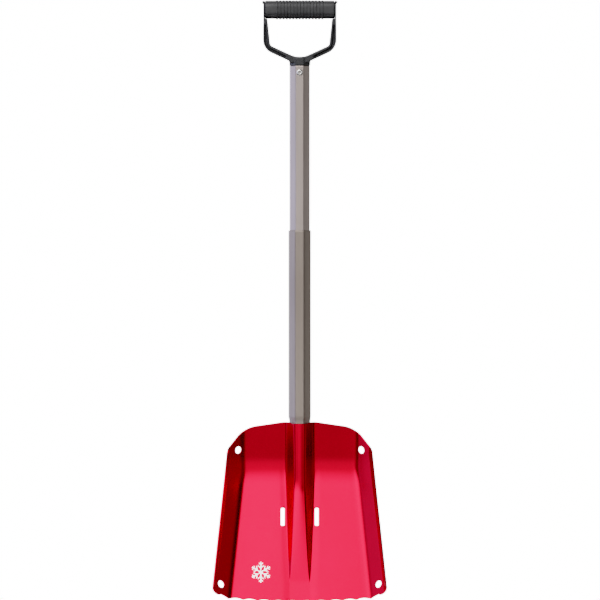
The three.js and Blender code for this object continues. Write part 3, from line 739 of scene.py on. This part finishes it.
SHEET = 1.8
BLADE_TOP = high("blade", Z)
SOCKET_MOUTH = BLADE_TOP - 2.5
TIP = low("blade", Z)
WALL_Y = 10.8
BEND_TOP, BEND_BOTTOM = -646.0, -690.0
WALL_LEAN = math.tan(math.radians(9.5))
PANEL_SLOPE = math.tan(math.radians(25))
RIDGE_FRONT_Y = -(HALF_DEPTH - REDUCED_INSET + GAP + SHEET)
RIDGE_BEND, RIDGE_BEND_HALF = -690.0, 12.0
RIDGE_END = -828.0
RIDGE_FOOT_X = 14.4
RIDGE_FILLET = 4.0
RIDGE_NARROWS = -680.0
RIDGE_DRAW_IN = 0.62
RIDGE_MIN_SPREAD = 0.05
CREST_CROWN = 0.5
FULL_CROWN_HEIGHT = 20.0  # a lower ridge has less of its crown
FOLD_TOP_X, FOLD_BOTTOM_X = 82.5, 102.5
FOLD_TURN_Z = -664.0
FOLD_HALF = 5.0
PANEL_CROWN = 0.6  # how far the panel swells forward in its middle
CROWN_FADE = 60.0  # the height over which that starts
WING_ANGLE_TOP, WING_ANGLE_BOTTOM = 37.0, 38.5
RIM_WIDTH, RIM_SLOPE, CURL_HALF = 2.4, 2.1, 0.8
SIDE_TOP, SIDE_BOTTOM = (105.6, -644.0), (125.6, -834.0)
SIDE_INSET = 1.8  # the sheet's own thickness takes up the rest at its sides
EDGE_RAISE = 0.9  # and at its cutting edge
EDGE_BOW, EDGE_CORNER_RISE = 4.2, 0.33
TOOTH_PITCH, TOOTH_DEPTH = 20.4, 2.2
HOLE_RADIUS = 6.0
UPPER_HOLE, LOWER_HOLE = (88.9, -638.5), (113.2, -830.5)
SLOT_X, SLOT_Z, SLOT_WIDTH, SLOT_LENGTH, SLOT_CORNER = 24.6, -734.5, 7.0, 27.2, 2.6


def along(z, start, end):
    """x at height z on the line through two (x, z) points."""
    return start[0] + (z - start[1]) / (end[1] - start[1]) * (end[0] - start[0])


def panel_slope(z):
    """How steeply the front surface runs back (under 0) or forward (over 0) on its way down."""
    into = min(max((BEND_TOP - z) / (BEND_TOP - BEND_BOTTOM), 0), 1)
    return (WALL_LEAN + PANEL_SLOPE) * into - WALL_LEAN


def panel_y(z):
    rate = (WALL_LEAN + PANEL_SLOPE) / (BEND_TOP - BEND_BOTTOM)
    straight = WALL_LEAN * max(z - BEND_TOP, 0) + PANEL_SLOPE * max(BEND_BOTTOM - z, 0)
    return WALL_Y - panel_slope(z) ** 2 / (2 * rate) - straight


def eased(past, half):
    """0 up to -half and past from half on, with a smooth bend between."""
    if abs(past) > half:
        return max(past, 0)
    return (past + half) ** 2 / (4 * half)


def ridge_y(z):
    slope = (RIDGE_FRONT_Y - panel_y(RIDGE_END)) / (RIDGE_BEND - RIDGE_END)
    return RIDGE_FRONT_Y - slope * eased(RIDGE_BEND - z, RIDGE_BEND_HALF)


def ridge_spread(z):
    """The share of its width that the ridge has."""
    left = min(max((z - RIDGE_END) / (RIDGE_NARROWS - RIDGE_END), 0), 1)
    return max(left**RIDGE_DRAW_IN, RIDGE_MIN_SPREAD)


def side_edge_x(z):
    return along(min(z, SIDE_TOP[1]), SIDE_TOP, SIDE_BOTTOM)


def fold_x(z):
    return along(min(z, FOLD_TURN_Z), (FOLD_TOP_X, FOLD_TURN_Z), (FOLD_BOTTOM_X, TIP))


def wing_slope(z):
    return math.tan(math.radians(along(z, (WING_ANGLE_TOP, SOCKET_MOUTH), (WING_ANGLE_BOTTOM, TIP))))


@functools.lru_cache(None)
def ridge_profile():
    """The ridge over the socket as (x, share of its height) from the end of its crest to its foot."""
    height = WALL_Y - RIDGE_FRONT_Y
    outset = REDUCED_INSET - GAP - SHEET
    foot = (side_x(WALL_Y, outset), WALL_Y)
    shoulder = corner_arc(outset, True, 8)
    corners = [tuple(shoulder[-1]), (*foot, RIDGE_FILLET), (foot[0] + 20, WALL_Y)]
    fillet = rounded_path(corners, False, 7)[1:-1]
    points = [*shoulder[:-1], *between(shoulder[-1], fillet[0], 9), *np.array(fillet)]
    return np.array([(x, (WALL_Y - y) / height) for x, y in points])


CREST_COLUMNS, FLOOR_COLUMNS, BEND_COLUMNS, WING_COLUMNS = 6, 13, 11, 9
OVERHANG = 4.0  # how far a row runs on past the blade's side edge


def wing_row(fold, panel, wing, rim):
    """A row of the wing's flat and the rim curled back along its edge."""
    wing_x = np.linspace(fold + FOLD_HALF, rim - CURL_HALF, WING_COLUMNS)[1:]
    rim_x = rim + np.array([-0.4, 0, 0.4, 0.8, RIM_WIDTH / 2, RIM_WIDTH, RIM_WIDTH + OVERHANG])
    x = np.concatenate([wing_x, rim_x])
    curl = np.clip(x - rim + CURL_HALF, 0, 2 * CURL_HALF)
    curl_y = RIM_SLOPE * (curl**2 / (4 * CURL_HALF) + np.maximum(x - rim - CURL_HALF, 0))
    return np.column_stack([x, panel - wing * (x - fold) - curl_y])


@functools.lru_cache(None)
def blade_row(z):
    """Half a row of the blade's front face, as arrays x and y."""
    panel, wing, fold, edge = panel_y(z), wing_slope(z), fold_x(z), side_edge_x(z)
    height, spread = max(panel - ridge_y(z), 0), ridge_spread(z)
    ridge = ridge_profile() * (spread, -height) + (RIDGE_FOOT_X * (1 - spread), panel)
    crest_x = np.linspace(0, ridge[0][0], CREST_COLUMNS, endpoint=False)
    crown = CREST_CROWN * min(height / FULL_CROWN_HEIGHT, 1) * (1 - (crest_x / ridge[0][0]) ** 2)
    crest = np.column_stack([crest_x, ridge[0][1] - crown])
    floor = between(ridge[-1], (fold - FOLD_HALF, panel), FLOOR_COLUMNS)[1:]
    crowned = PANEL_CROWN * smooth((BEND_TOP - z) / CROWN_FADE)
    floor[:, 1] -= crowned * (1 - (floor[:, 0] / (fold - FOLD_HALF)) ** 2)
    bend_x = np.linspace(-FOLD_HALF, FOLD_HALF, BEND_COLUMNS)
    bend = np.column_stack([fold + bend_x, panel - wing * (bend_x + FOLD_HALF) ** 2 / (4 * FOLD_HALF)])
    outer = wing_row(fold, panel, wing, edge - SIDE_INSET - RIM_WIDTH)
    return np.concatenate([crest, ridge, floor, bend, outer])


def nominal_columns():
    """The flat coordinate of each column: the row's own length round it, below the socket's mouth."""
    row = blade_row(-700.0)
    return np.concatenate([[0], np.cumsum(np.linalg.norm(np.diff(row, axis=0), axis=1))])


COLUMNS = nominal_columns()


def on_blade(t, z):
    """The point of the blade's front at flat coordinates t and z."""
    row = blade_row(round(float(z), 4))
    x, y = (np.interp(abs(t), COLUMNS, row[:, k]) for k in (0, 1))
    return np.array([math.copysign(x, t), y, z])


def flat_on_blade(x, z):
    """The flat coordinates of the blade's point seen at (x, z) from in front."""
    row = blade_row(round(float(z), 4))
    return math.copysign(float(np.interp(abs(x), row[:, 0], COLUMNS)), x), float(z)


def blade_faces(flat, thickness=SHEET, lift=0.0):
    """Front and back points of the sheet, or of a skin that starts lift behind its front."""
    front, back = np.zeros((len(flat), 3)), np.zeros((len(flat), 3))
    for k, (t, z) in enumerate(flat):
        here = on_blade(t, z)
        across = on_blade(t + 0.3, z) - on_blade(t - 0.3, z)
        upward = on_blade(t, z + 0.5) - on_blade(t, z - 0.5)
        normal = np.cross(upward, across)
        normal /= np.linalg.norm(normal)
        normal *= math.copysign(1, normal[1])
        front[k] = here + normal * lift
        back[k] = here + normal * (lift + thickness)
    return front, back


def cutting_edge_z(x):
    """The scalloped edge's height: bowed, and rising past the folds."""
    rise = EDGE_CORNER_RISE * max(abs(x) - FOLD_BOTTOM_X, 0)
    bow = TIP + EDGE_RAISE + EDGE_BOW * (x / FOLD_BOTTOM_X) ** 2 + rise
    u = abs(x / TOOTH_PITCH - round(x / TOOTH_PITCH))
    return bow + TOOTH_DEPTH * (1 - (1 - 2 * u) ** 2)


def mirrored(half):
    """A closed loop from its right half, which runs from the top middle to the bottom middle."""
    return half + [(-x, z) for x, z in half[-2:0:-1]]


def blade_outline():
    side_x, side_z = SIDE_BOTTOM
    top_z = BLADE_TOP - 0.7
    top = rounded_path(
        [
            (0, SOCKET_MOUTH), (11, SOCKET_MOUTH), (15, top_z), (24, top_z), (79.1, -606.7, 40),
            (104.9 - SIDE_INSET, -636.9, 20), (side_x - SIDE_INSET, side_z),
            (side_x + 1 - SIDE_INSET, -844.2, 10), (114, -845.2),
        ],
        False, 10,
    )[:-1]
    edge = [(x, cutting_edge_z(x)) for x in np.linspace(116 - SIDE_INSET, 0, 97)]
    return mirrored([(float(x), float(z)) for x, z in top + edge])


def wing_point(x, z):
    return Vector((x, panel_y(z) - wing_slope(z) * (abs(x) - fold_x(z)), z))


def wing_hole(x, z, side):
    """A hole punched square to the wing, seen from in front."""
    middle = wing_point(side * x, z)
    across = (wing_point(side * x + 0.5, z) - middle).normalized()
    normal = across.cross(wing_point(side * x, z + 0.5) - middle).normalized()
    upward = normal.cross(across)
    angles = [2 * math.pi * k / 48 for k in range(48)]
    points = [middle + HOLE_RADIUS * (across * math.cos(a) + upward * math.sin(a)) for a in angles]
    return [(p.x, p.z) for p in points]


def strap_slot(side):
    w, l = SLOT_WIDTH / 2, SLOT_LENGTH / 2
    corners = [(x, z, SLOT_CORNER) for x, z in ((-w, -l), (w, -l), (w, l), (-w, l))]
    return [(x + side * SLOT_X, z + SLOT_Z) for x, z in rounded_path(corners, True, 6)]


def blade_holes():
    loops = []
    for side in (-1, 1):
        loops += [wing_hole(*UPPER_HOLE, side), wing_hole(*LOWER_HOLE, side), strap_slot(side)]
    return loops


def blade():
    rows = [*np.arange(TIP, BLADE_TOP, 3.0), *np.arange(BEND_BOTTOM - 12, BEND_TOP, 3.0) + 1.5]
    columns = np.concatenate([-COLUMNS[:0:-1], COLUMNS])
    outline = [flat_on_blade(x, z) for x, z in subdivided(blade_outline(), 1.6)]
    holes = [[flat_on_blade(x, z) for x, z in subdivided(loop, 1.2)] for loop in blade_holes()]
    bm = shell(blade_faces, columns, sorted(rows), outline, holes, clear=0.5)
    mesh = finish_mesh(bm, "blade_skin")
    add_piece("blade_skin", mesh, RED, "blade", ["blade"])


# ---- Socket back plate --------------------------------------------------------------------

PLATE = 1.6
PLATE_TOP, PLATE_BOTTOM = high("socket_back_plate", Z), low("socket_back_plate", Z)
PLATE_HALF = high("socket_back_plate", X)
PAD_Y = HALF_DEPTH - REDUCED_INSET + GAP
PAD_HALF, PAD_FOOT = 14.0, 18.5
PAD_END = -686.0
WELDS = [(25.5, z) for z in (-612, -630, -648, -668, -688, -703)]
WELD_RADIUS, WELD_DEPTH = 2.8, 0.45


def plate_faces(flat):
    front, back = np.zeros((len(flat), 3)), np.zeros((len(flat), 3))
    for k, (x, z) in enumerate(flat):
        tilt = math.hypot(1, panel_slope(z))
        flange = panel_y(z) + SHEET * tilt + GAP
        closing = smooth((PAD_END - z) / (PAD_END - PLATE_BOTTOM + 4))
        pad = max(PAD_Y * (1 - closing) + flange * closing, flange)
        y = flange + (pad - flange) * smooth((PAD_FOOT - abs(x)) / (PAD_FOOT - PAD_HALF + 2))
        dent = 0.0
        for weld_x, weld_z in WELDS:
            off = math.hypot(abs(x) - weld_x, z - weld_z)
            dent = max(dent, WELD_DEPTH * (1 - smooth((off - 0.8) / (WELD_RADIUS - 0.8))))
        front[k] = (x, y, z)
        back[k] = (x, y + PLATE * tilt - dent, z)
    return front, back


def back_plate():
    corners = [
        (-PLATE_HALF, PLATE_BOTTOM, 12), (PLATE_HALF, PLATE_BOTTOM, 12),
        (PLATE_HALF, PLATE_TOP, 8), (-PLATE_HALF, PLATE_TOP, 8),
    ]
    outline = subdivided(rounded_path(corners, True, 8), 1.6)
    columns = np.linspace(-PLATE_HALF, PLATE_HALF, 61)
    rows = np.linspace(PLATE_BOTTOM, PLATE_TOP, 98)
    bm = shell(plate_faces, columns, rows, outline, [button_hole(0, BLADE_BUTTON_Z)], clear=0.5)
    mesh = finish_mesh(bm, "back_plate_skin")
    add_piece("back_plate_skin", mesh, RED, "blade", ["socket_back_plate"])


# ---- Hand grip ----------------------------------------------------------------------------

SLEEVE_END = high("grip_sleeve", X)
BAR_HALF_HEIGHT, BAR_HALF_DEPTH, BAR_CORNER = 12.7, 13.5, 9.5
SLEEVE_THICKNESS = 2.6
RIB_COUNT, RIB_PITCH, RIB_HEIGHT, RIB_HALF = 15, 4.7, 0.75, 1.35
BAR_END, BAR_LIP = 52.6, 1.6
ARM_HALF_DEPTH, ARM_WEB_HALF = 11.5, 8.5
VALLEY_RADIUS = 32
VALLEY_CORNER = (43.1, -52.2)
COLLAR_BOTTOM = UPPER_TOP + GAP
COLLAR_HEIGHT, COLLAR_TAPER = 14.5, 3.5
CUT_DEPTH = 30  # further than the grip reaches
FRAME_VOXEL = 0.00055
FRAME_SMOOTHING = 12
FRAME_DETAIL = 0.45  # share of the remeshed frame's faces that are kept


def bar_ring(x, grow):
    y, z, r = BAR_HALF_DEPTH + grow, BAR_HALF_HEIGHT + grow, BAR_CORNER + grow
    corners = [(-y, -z, r), (y, -z, r), (y, z, r), (-y, z, r)]
    return [(x, py, pz) for py, pz in rounded_path(corners, True, 10)]


def loft(rings, hollow=False):
    """A closed body from rings of equal length: capped, or joined from the last ring to the first."""
    n = len(rings[0])
    faces = []
    count = len(rings)
    for k in range(count if hollow else count - 1):
        following = (k + 1) % count
        for i in range(n):
            j = (i + 1) % n
            faces.append((k * n + i, k * n + j, following * n + j, following * n + i))
    if not hollow:
        faces += [tuple(range(n)), tuple(range((count - 1) * n, count * n))]
    return bmesh_of([p for ring in rings for p in ring], faces)


def grip_sleeve():
    rings = []
    for x in sleeve_stations():
        nearest = min(max(round(x / RIB_PITCH), -(RIB_COUNT // 2)), RIB_COUNT // 2) * RIB_PITCH
        rib = max(0.0, 1 - ((x - nearest) / RIB_HALF) ** 4)
        end = max(0.0, 1 - (SLEEVE_END - abs(x)) / 1.2)
        rings.append(bar_ring(x, RIB_HEIGHT * math.sqrt(rib) - 0.6 * end * end))
    rings += [bar_ring(x, -SLEEVE_THICKNESS) for x in (SLEEVE_END, -SLEEVE_END)]
    mesh = finish_mesh(loft(rings, hollow=True), "grip_sleeve_skin")
    add_piece("grip_sleeve_skin", mesh, ribbed_rubber(), "upper_shaft", ["grip_sleeve"])


def sleeve_stations():
    """Heights along the bar where its section is drawn: close together on each rib."""
    stations = {-SLEEVE_END, SLEEVE_END}
    for end in (-1, 1):
        stations |= {end * (SLEEVE_END - d) for d in (0.2, 0.5, 0.9, 1.3)}
    for i in range(RIB_COUNT):
        middle = (i - RIB_COUNT // 2) * RIB_PITCH
        shares = (-1.05, -1, -0.96, -0.85, -0.65, -0.35, 0, 0.35, 0.65, 0.85, 0.96, 1, 1.05)
        stations |= {round(middle + s * RIB_HALF, 4) for s in shares}
    return sorted(stations)


def valley():
    """The bottom of the hand opening: its right half, from the arm to the middle."""
    x, z = VALLEY_CORNER
    path = rounded_path([(x, z), (0, -72, VALLEY_RADIUS), (-x, z)], False, 16)
    return [p for p in path if -0.01 < p[0] < 43]


def frame_outline():
    outside = [(14.6, -77), (15.6, -73.6), (52.8, -56.4, 20), (52.8, -28), (52.4, -8)]
    outer = rounded_path(outside, False, 12)
    end, under = SLEEVE_END + GAP, -BAR_HALF_HEIGHT - 2 * GAP
    steps_in = [(end, -8), (end, under), (47.2, under), (*VALLEY_CORNER, 6), valley()[0]]
    inner = rounded_path(steps_in, False, 8)[:-1]
    right = [*outer, *inner, *valley()]
    return right + [(-x, z) for x, z in right[-2::-1]]


def arm_pocket(side):
    """The shallow groove between the rounded edges of an arm."""
    corners = [(20, -70.2), (50.6, -55.6, 18), (50.6, -22), (49.2, -22), (46.4, -54.4, 8), (20, -67.6)]
    return [(side * x, z) for x, z in rounded_path(corners, True, 10)]


def plate(outline, y0, y1):
    return loft([[(x, y, z) for x, z in outline] for y in (y0, y1)])


def section_body(stations):
    """A solid of the shaft's section, from (height, inset) stations."""
    return loft([[(x, y, z) for x, y in section(inset)[:-1]] for z, inset in stations])


def temporary(bm):
    """An object in metres from a bmesh in millimetres."""
    in_metres(bm)
    obj = bpy.data.objects.new("temporary", mesh_of(bm, "temporary"))
    bpy.context.scene.collection.objects.link(obj)
    return obj


def remove_temporaries():
    for obj in [o for o in bpy.data.objects if o.name.startswith("temporary")]:
        bpy.data.objects.remove(obj)


def combine(base, others, operation):
    for other in others:
        modifier = base.modifiers.new("combine", "BOOLEAN")
        modifier.object = other
        modifier.operation = operation
        modifier.solver = "EXACT"


def applied(obj, name):
    """The mesh of an object with its modifiers applied."""
    depsgraph = bpy.context.evaluated_depsgraph_get()
    mesh = bpy.data.meshes.new_from_object(obj.evaluated_get(depsgraph))
    mesh.name = name
    return mesh


def arms():
    """The D's two arms, grooved in front and behind."""
    body = temporary(plate(frame_outline(), -ARM_HALF_DEPTH, ARM_HALF_DEPTH))
    depths = ((-CUT_DEPTH, -ARM_WEB_HALF), (ARM_WEB_HALF, CUT_DEPTH))
    grooves = [temporary(plate(arm_pocket(side), y0, y1)) for side in (-1, 1) for y0, y1 in depths]
    combine(body, grooves, "DIFFERENCE")
    return body


def bar_core():
    """The bar inside the sleeve."""
    ends = (-SLEEVE_END - 1, SLEEVE_END + 1)
    return temporary(loft([bar_ring(x, -SLEEVE_THICKNESS - GAP) for x in ends]))


def bar_end(side):
    """A bar end's plate, and the lip along its upper edge."""
    stations = ((SLEEVE_END + GAP, -0.3), (BAR_END - 1, 0), (BAR_END, -0.8))
    end = temporary(loft([bar_ring(side * x, grow) for x, grow in stations]))
    lip = temporary(loft([bar_ring(side * x, -0.3) for x in (BAR_END - 2, BAR_END + BAR_LIP)]))
    bottom, top = BAR_HALF_HEIGHT - 0.3 - 3, BAR_HALF_HEIGHT - 0.3 + 3
    corners = ((40, bottom), (62, bottom), (62, top), (40, top))
    keep = temporary(plate([(side * x, z) for x, z in corners], -CUT_DEPTH, CUT_DEPTH))
    combine(lip, [keep], "INTERSECT")
    return [end, lip]


def collar():
    """The collar on the tube's end, up to the bottom of the hand opening."""
    top = COLLAR_BOTTOM + COLLAR_HEIGHT
    stations = [(COLLAR_BOTTOM, 1.0), (top - COLLAR_TAPER, 1.0), (top, COLLAR_TAPER)]
    body = temporary(section_body(stations))
    floor = valley()
    x, z = VALLEY_CORNER
    above = [*floor, *[(-px, pz) for px, pz in floor[-2::-1]]]
    above += [(-x, z), (-x, -40), (x, -40), (x, z)]
    combine(body, [temporary(plate(above, -CUT_DEPTH, CUT_DEPTH))], "DIFFERENCE")
    return body


def moulded(parts, name):
    """One mesh from overlapping parts, with its seams and edges softened."""
    joined = bmesh.new()
    for part in parts:
        joined.from_mesh(applied(part, "part"))
    whole = bpy.data.objects.new("temporary", mesh_of(joined, "temporary"))
    bpy.context.scene.collection.objects.link(whole)
    remesh = whole.modifiers.new("remesh", "REMESH")
    remesh.mode = "VOXEL"
    remesh.voxel_size = FRAME_VOXEL
    whole.modifiers.new("soften", "SMOOTH").iterations = FRAME_SMOOTHING
    whole.modifiers.new("thin", "DECIMATE").ratio = FRAME_DETAIL
    mesh = applied(whole, name)
    mesh.shade_smooth()
    return mesh


def grip_frame():
    plug = temporary(section_body([(COLLAR_BOTTOM - 8, 3.0), (COLLAR_BOTTOM + 3, 3.0)]))
    parts = [arms(), bar_core(), *bar_end(-1), *bar_end(1), collar(), plug]
    mesh = moulded(parts, "grip_frame_skin")
    remove_temporaries()
    add_piece("grip_frame_skin", mesh, moulded_nylon(), "upper_shaft", ["grip_frame"])


# ---- Rivets, buttons and plugs ------------------------------------------------------------

RIVET_Z = (low("grip_rivet_front", Z) + high("grip_rivet_front", Z)) / 2
TUBE_FACE = HALF_DEPTH - UPPER_INSET
BUTTON_FLANGE = 2


def arc_profile(centre, radius, start, end, steps):
    """Profile points on an arc about (radius, height) centre, with angles in degrees."""
    angles = np.radians(np.linspace(start, end, steps))
    return [(centre[0] + radius * math.cos(a), centre[1] + radius * math.sin(a)) for a in angles]


def rivets():
    """Blind rivets: a low domed head with a rolled hole, and the broken mandrel down in it."""
    head = [(1.7, -5.6), (2.4, -5.6), (2.4, 0.3), (4.35, 0.3)]
    head += arc_profile((4.3, 0.6), 0.3, -70, 60, 5) + arc_profile((2.9, 0.1), 1.75, 45, 95, 6)
    head += arc_profile((2.25, 1.4), 0.45, 95, 180, 5) + [(1.7, 0.9), (1.7, -5.6)]
    pin = [(0, -7.4), (2.2, -7.4), (2.2, -6), (1.4, -5.9), (1.4, 0.1), (1.2, 0.3), (0.5, 0.2), (0, 0.5)]
    for name, side in (("front", -1), ("rear", 1)):
        place = (0, side * TUBE_FACE, RIVET_Z)
        for piece, profile, slot, node, material in (
            ("rivet", head, "rivet_metal", "grip_rivet_", BRIGHT),
            ("mandrel", pin, "spring_steel", "rivet_mandrel_", STEEL),
        ):
            bm = lathe([(r, side * h) for r, h in profile], 48, place)
            mesh = finish_mesh(bm, f"{piece}_{name}_skin")
            add_piece(mesh.name, mesh, material, "upper_shaft", [node + name])


def lock_button(name, node, body):
    """A spring button with a rounded top and a faint turned ring."""
    top, bottom = high(node, Y), low(node, Y)
    flange = bottom + BUTTON_FLANGE
    profile = [(0, bottom), (5.8, bottom), (6, bottom + 0.2), (6, flange - 0.2), (5.8, flange)]
    profile += [(4.4, flange), *arc_profile((3.0, top - 1.4), 1.4, 0, 80, 8)]
    profile += [(2.4, top - 0.02), (2.2, top - 0.12), (1.9, top - 0.02), (0, top)]
    middle = (low(node, Z) + high(node, Z)) / 2
    mesh = finish_mesh(lathe(profile, 48, (0, 0, middle)), name)
    add_piece(name, mesh, STEEL, body, [node])


def end_plug():
    """The ribbed plastic plug in the lower tube's end."""
    end = LOWER_END
    inside_tube = REDUCED_INSET + WALL + GAP
    stations = [
        (end - 2, 2.6), (end - 1.8, 2.0), (end - 1.4, 1.6), (end - 0.6, 1.3), (end - 0.3, 1.4),
        (end - 0.29, inside_tube), (end + 9, inside_tube), (end + 10, inside_tube + 0.8),
    ]
    mesh = finish_mesh(section_body(stations), "lower_plug_skin")
    nodes = ["lower_tube_end_plug"]
    add_piece("lower_plug_skin", mesh, plug_plastic(), "lower_shaft", nodes)


def dress_hidden_nodes():
    """Inner pieces keep their CAD shape and get their finish."""
    finishes = {
        "shaft_button_spring": STEEL,
        "blade_button_spring": STEEL,
        "upper_tube_end_plug": plug_plastic(),
    }
    for node, material in finishes.items():
        for slot in frame["nodes"][node].material_slots:
            slot.material = material


# ---- Printed mark -------------------------------------------------------------------------

MARK_PLACE = (-56.0, -814.0)
MARK_RADIUS = 15.0
INK_THICKNESS, INK_LIFT = 0.06, -0.07
ARM_WIDTH = 0.07  # half the width of a snowflake's arm, for a radius of 1
# The right side of an upright arm, from the centre out, with its two branches.
ARM_SIDE = [
    (ARM_WIDTH, 0.12), (ARM_WIDTH, 0.38), (0.3, 0.56), (0.3, 0.72), (ARM_WIDTH, 0.55),
    (ARM_WIDTH, 0.7), (0.2, 0.8), (0.2, 0.94), (ARM_WIDTH, 0.84), (ARM_WIDTH, 1.0),
]


def printed_mark():
    """A plain six-armed snowflake, printed in white low on the left of the scoop."""
    loop = []
    arm = [(-x, y) for x, y in ARM_SIDE] + ARM_SIDE[::-1]
    for k in range(6):
        a = -k * math.pi / 3
        c, s = math.cos(a), math.sin(a)
        loop += [(MARK_RADIUS * (x * c - y * s), MARK_RADIUS * (x * s + y * c)) for x, y in arm]
    outline = subdivided([flat_on_blade(x + MARK_PLACE[0], z + MARK_PLACE[1]) for x, z in loop], 1.2)
    reach = MARK_RADIUS + 1
    columns, rows = (np.arange(c - reach, c + reach, 1.5) for c in flat_on_blade(*MARK_PLACE))

    def faces_at(flat):
        return blade_faces(flat, INK_THICKNESS, INK_LIFT)

    bm = shell(faces_at, columns, rows, outline, clear=0.3, bulge=0.02)
    mesh = finish_mesh(bm, "printed_mark")
    add_piece("printed_mark", mesh, white_print(), "blade")


# ---- Assembly -----------------------------------------------------------------------------

set_tones()
add_camera()
add_world()
add_soft_box()
add_floor()

RED = red_anodised()
BRIGHT = bright_aluminium()
STEEL = stainless_steel()

grip_frame()
grip_sleeve()
rivets()
upper_tube()
lower_tube()
lock_button("shaft_button_skin", "shaft_lock_button", "shaft_button")
lock_button("blade_button_skin", "blade_lock_button", "blade_button")
end_plug()
dress_hidden_nodes()
blade()
back_plate()
printed_mark()
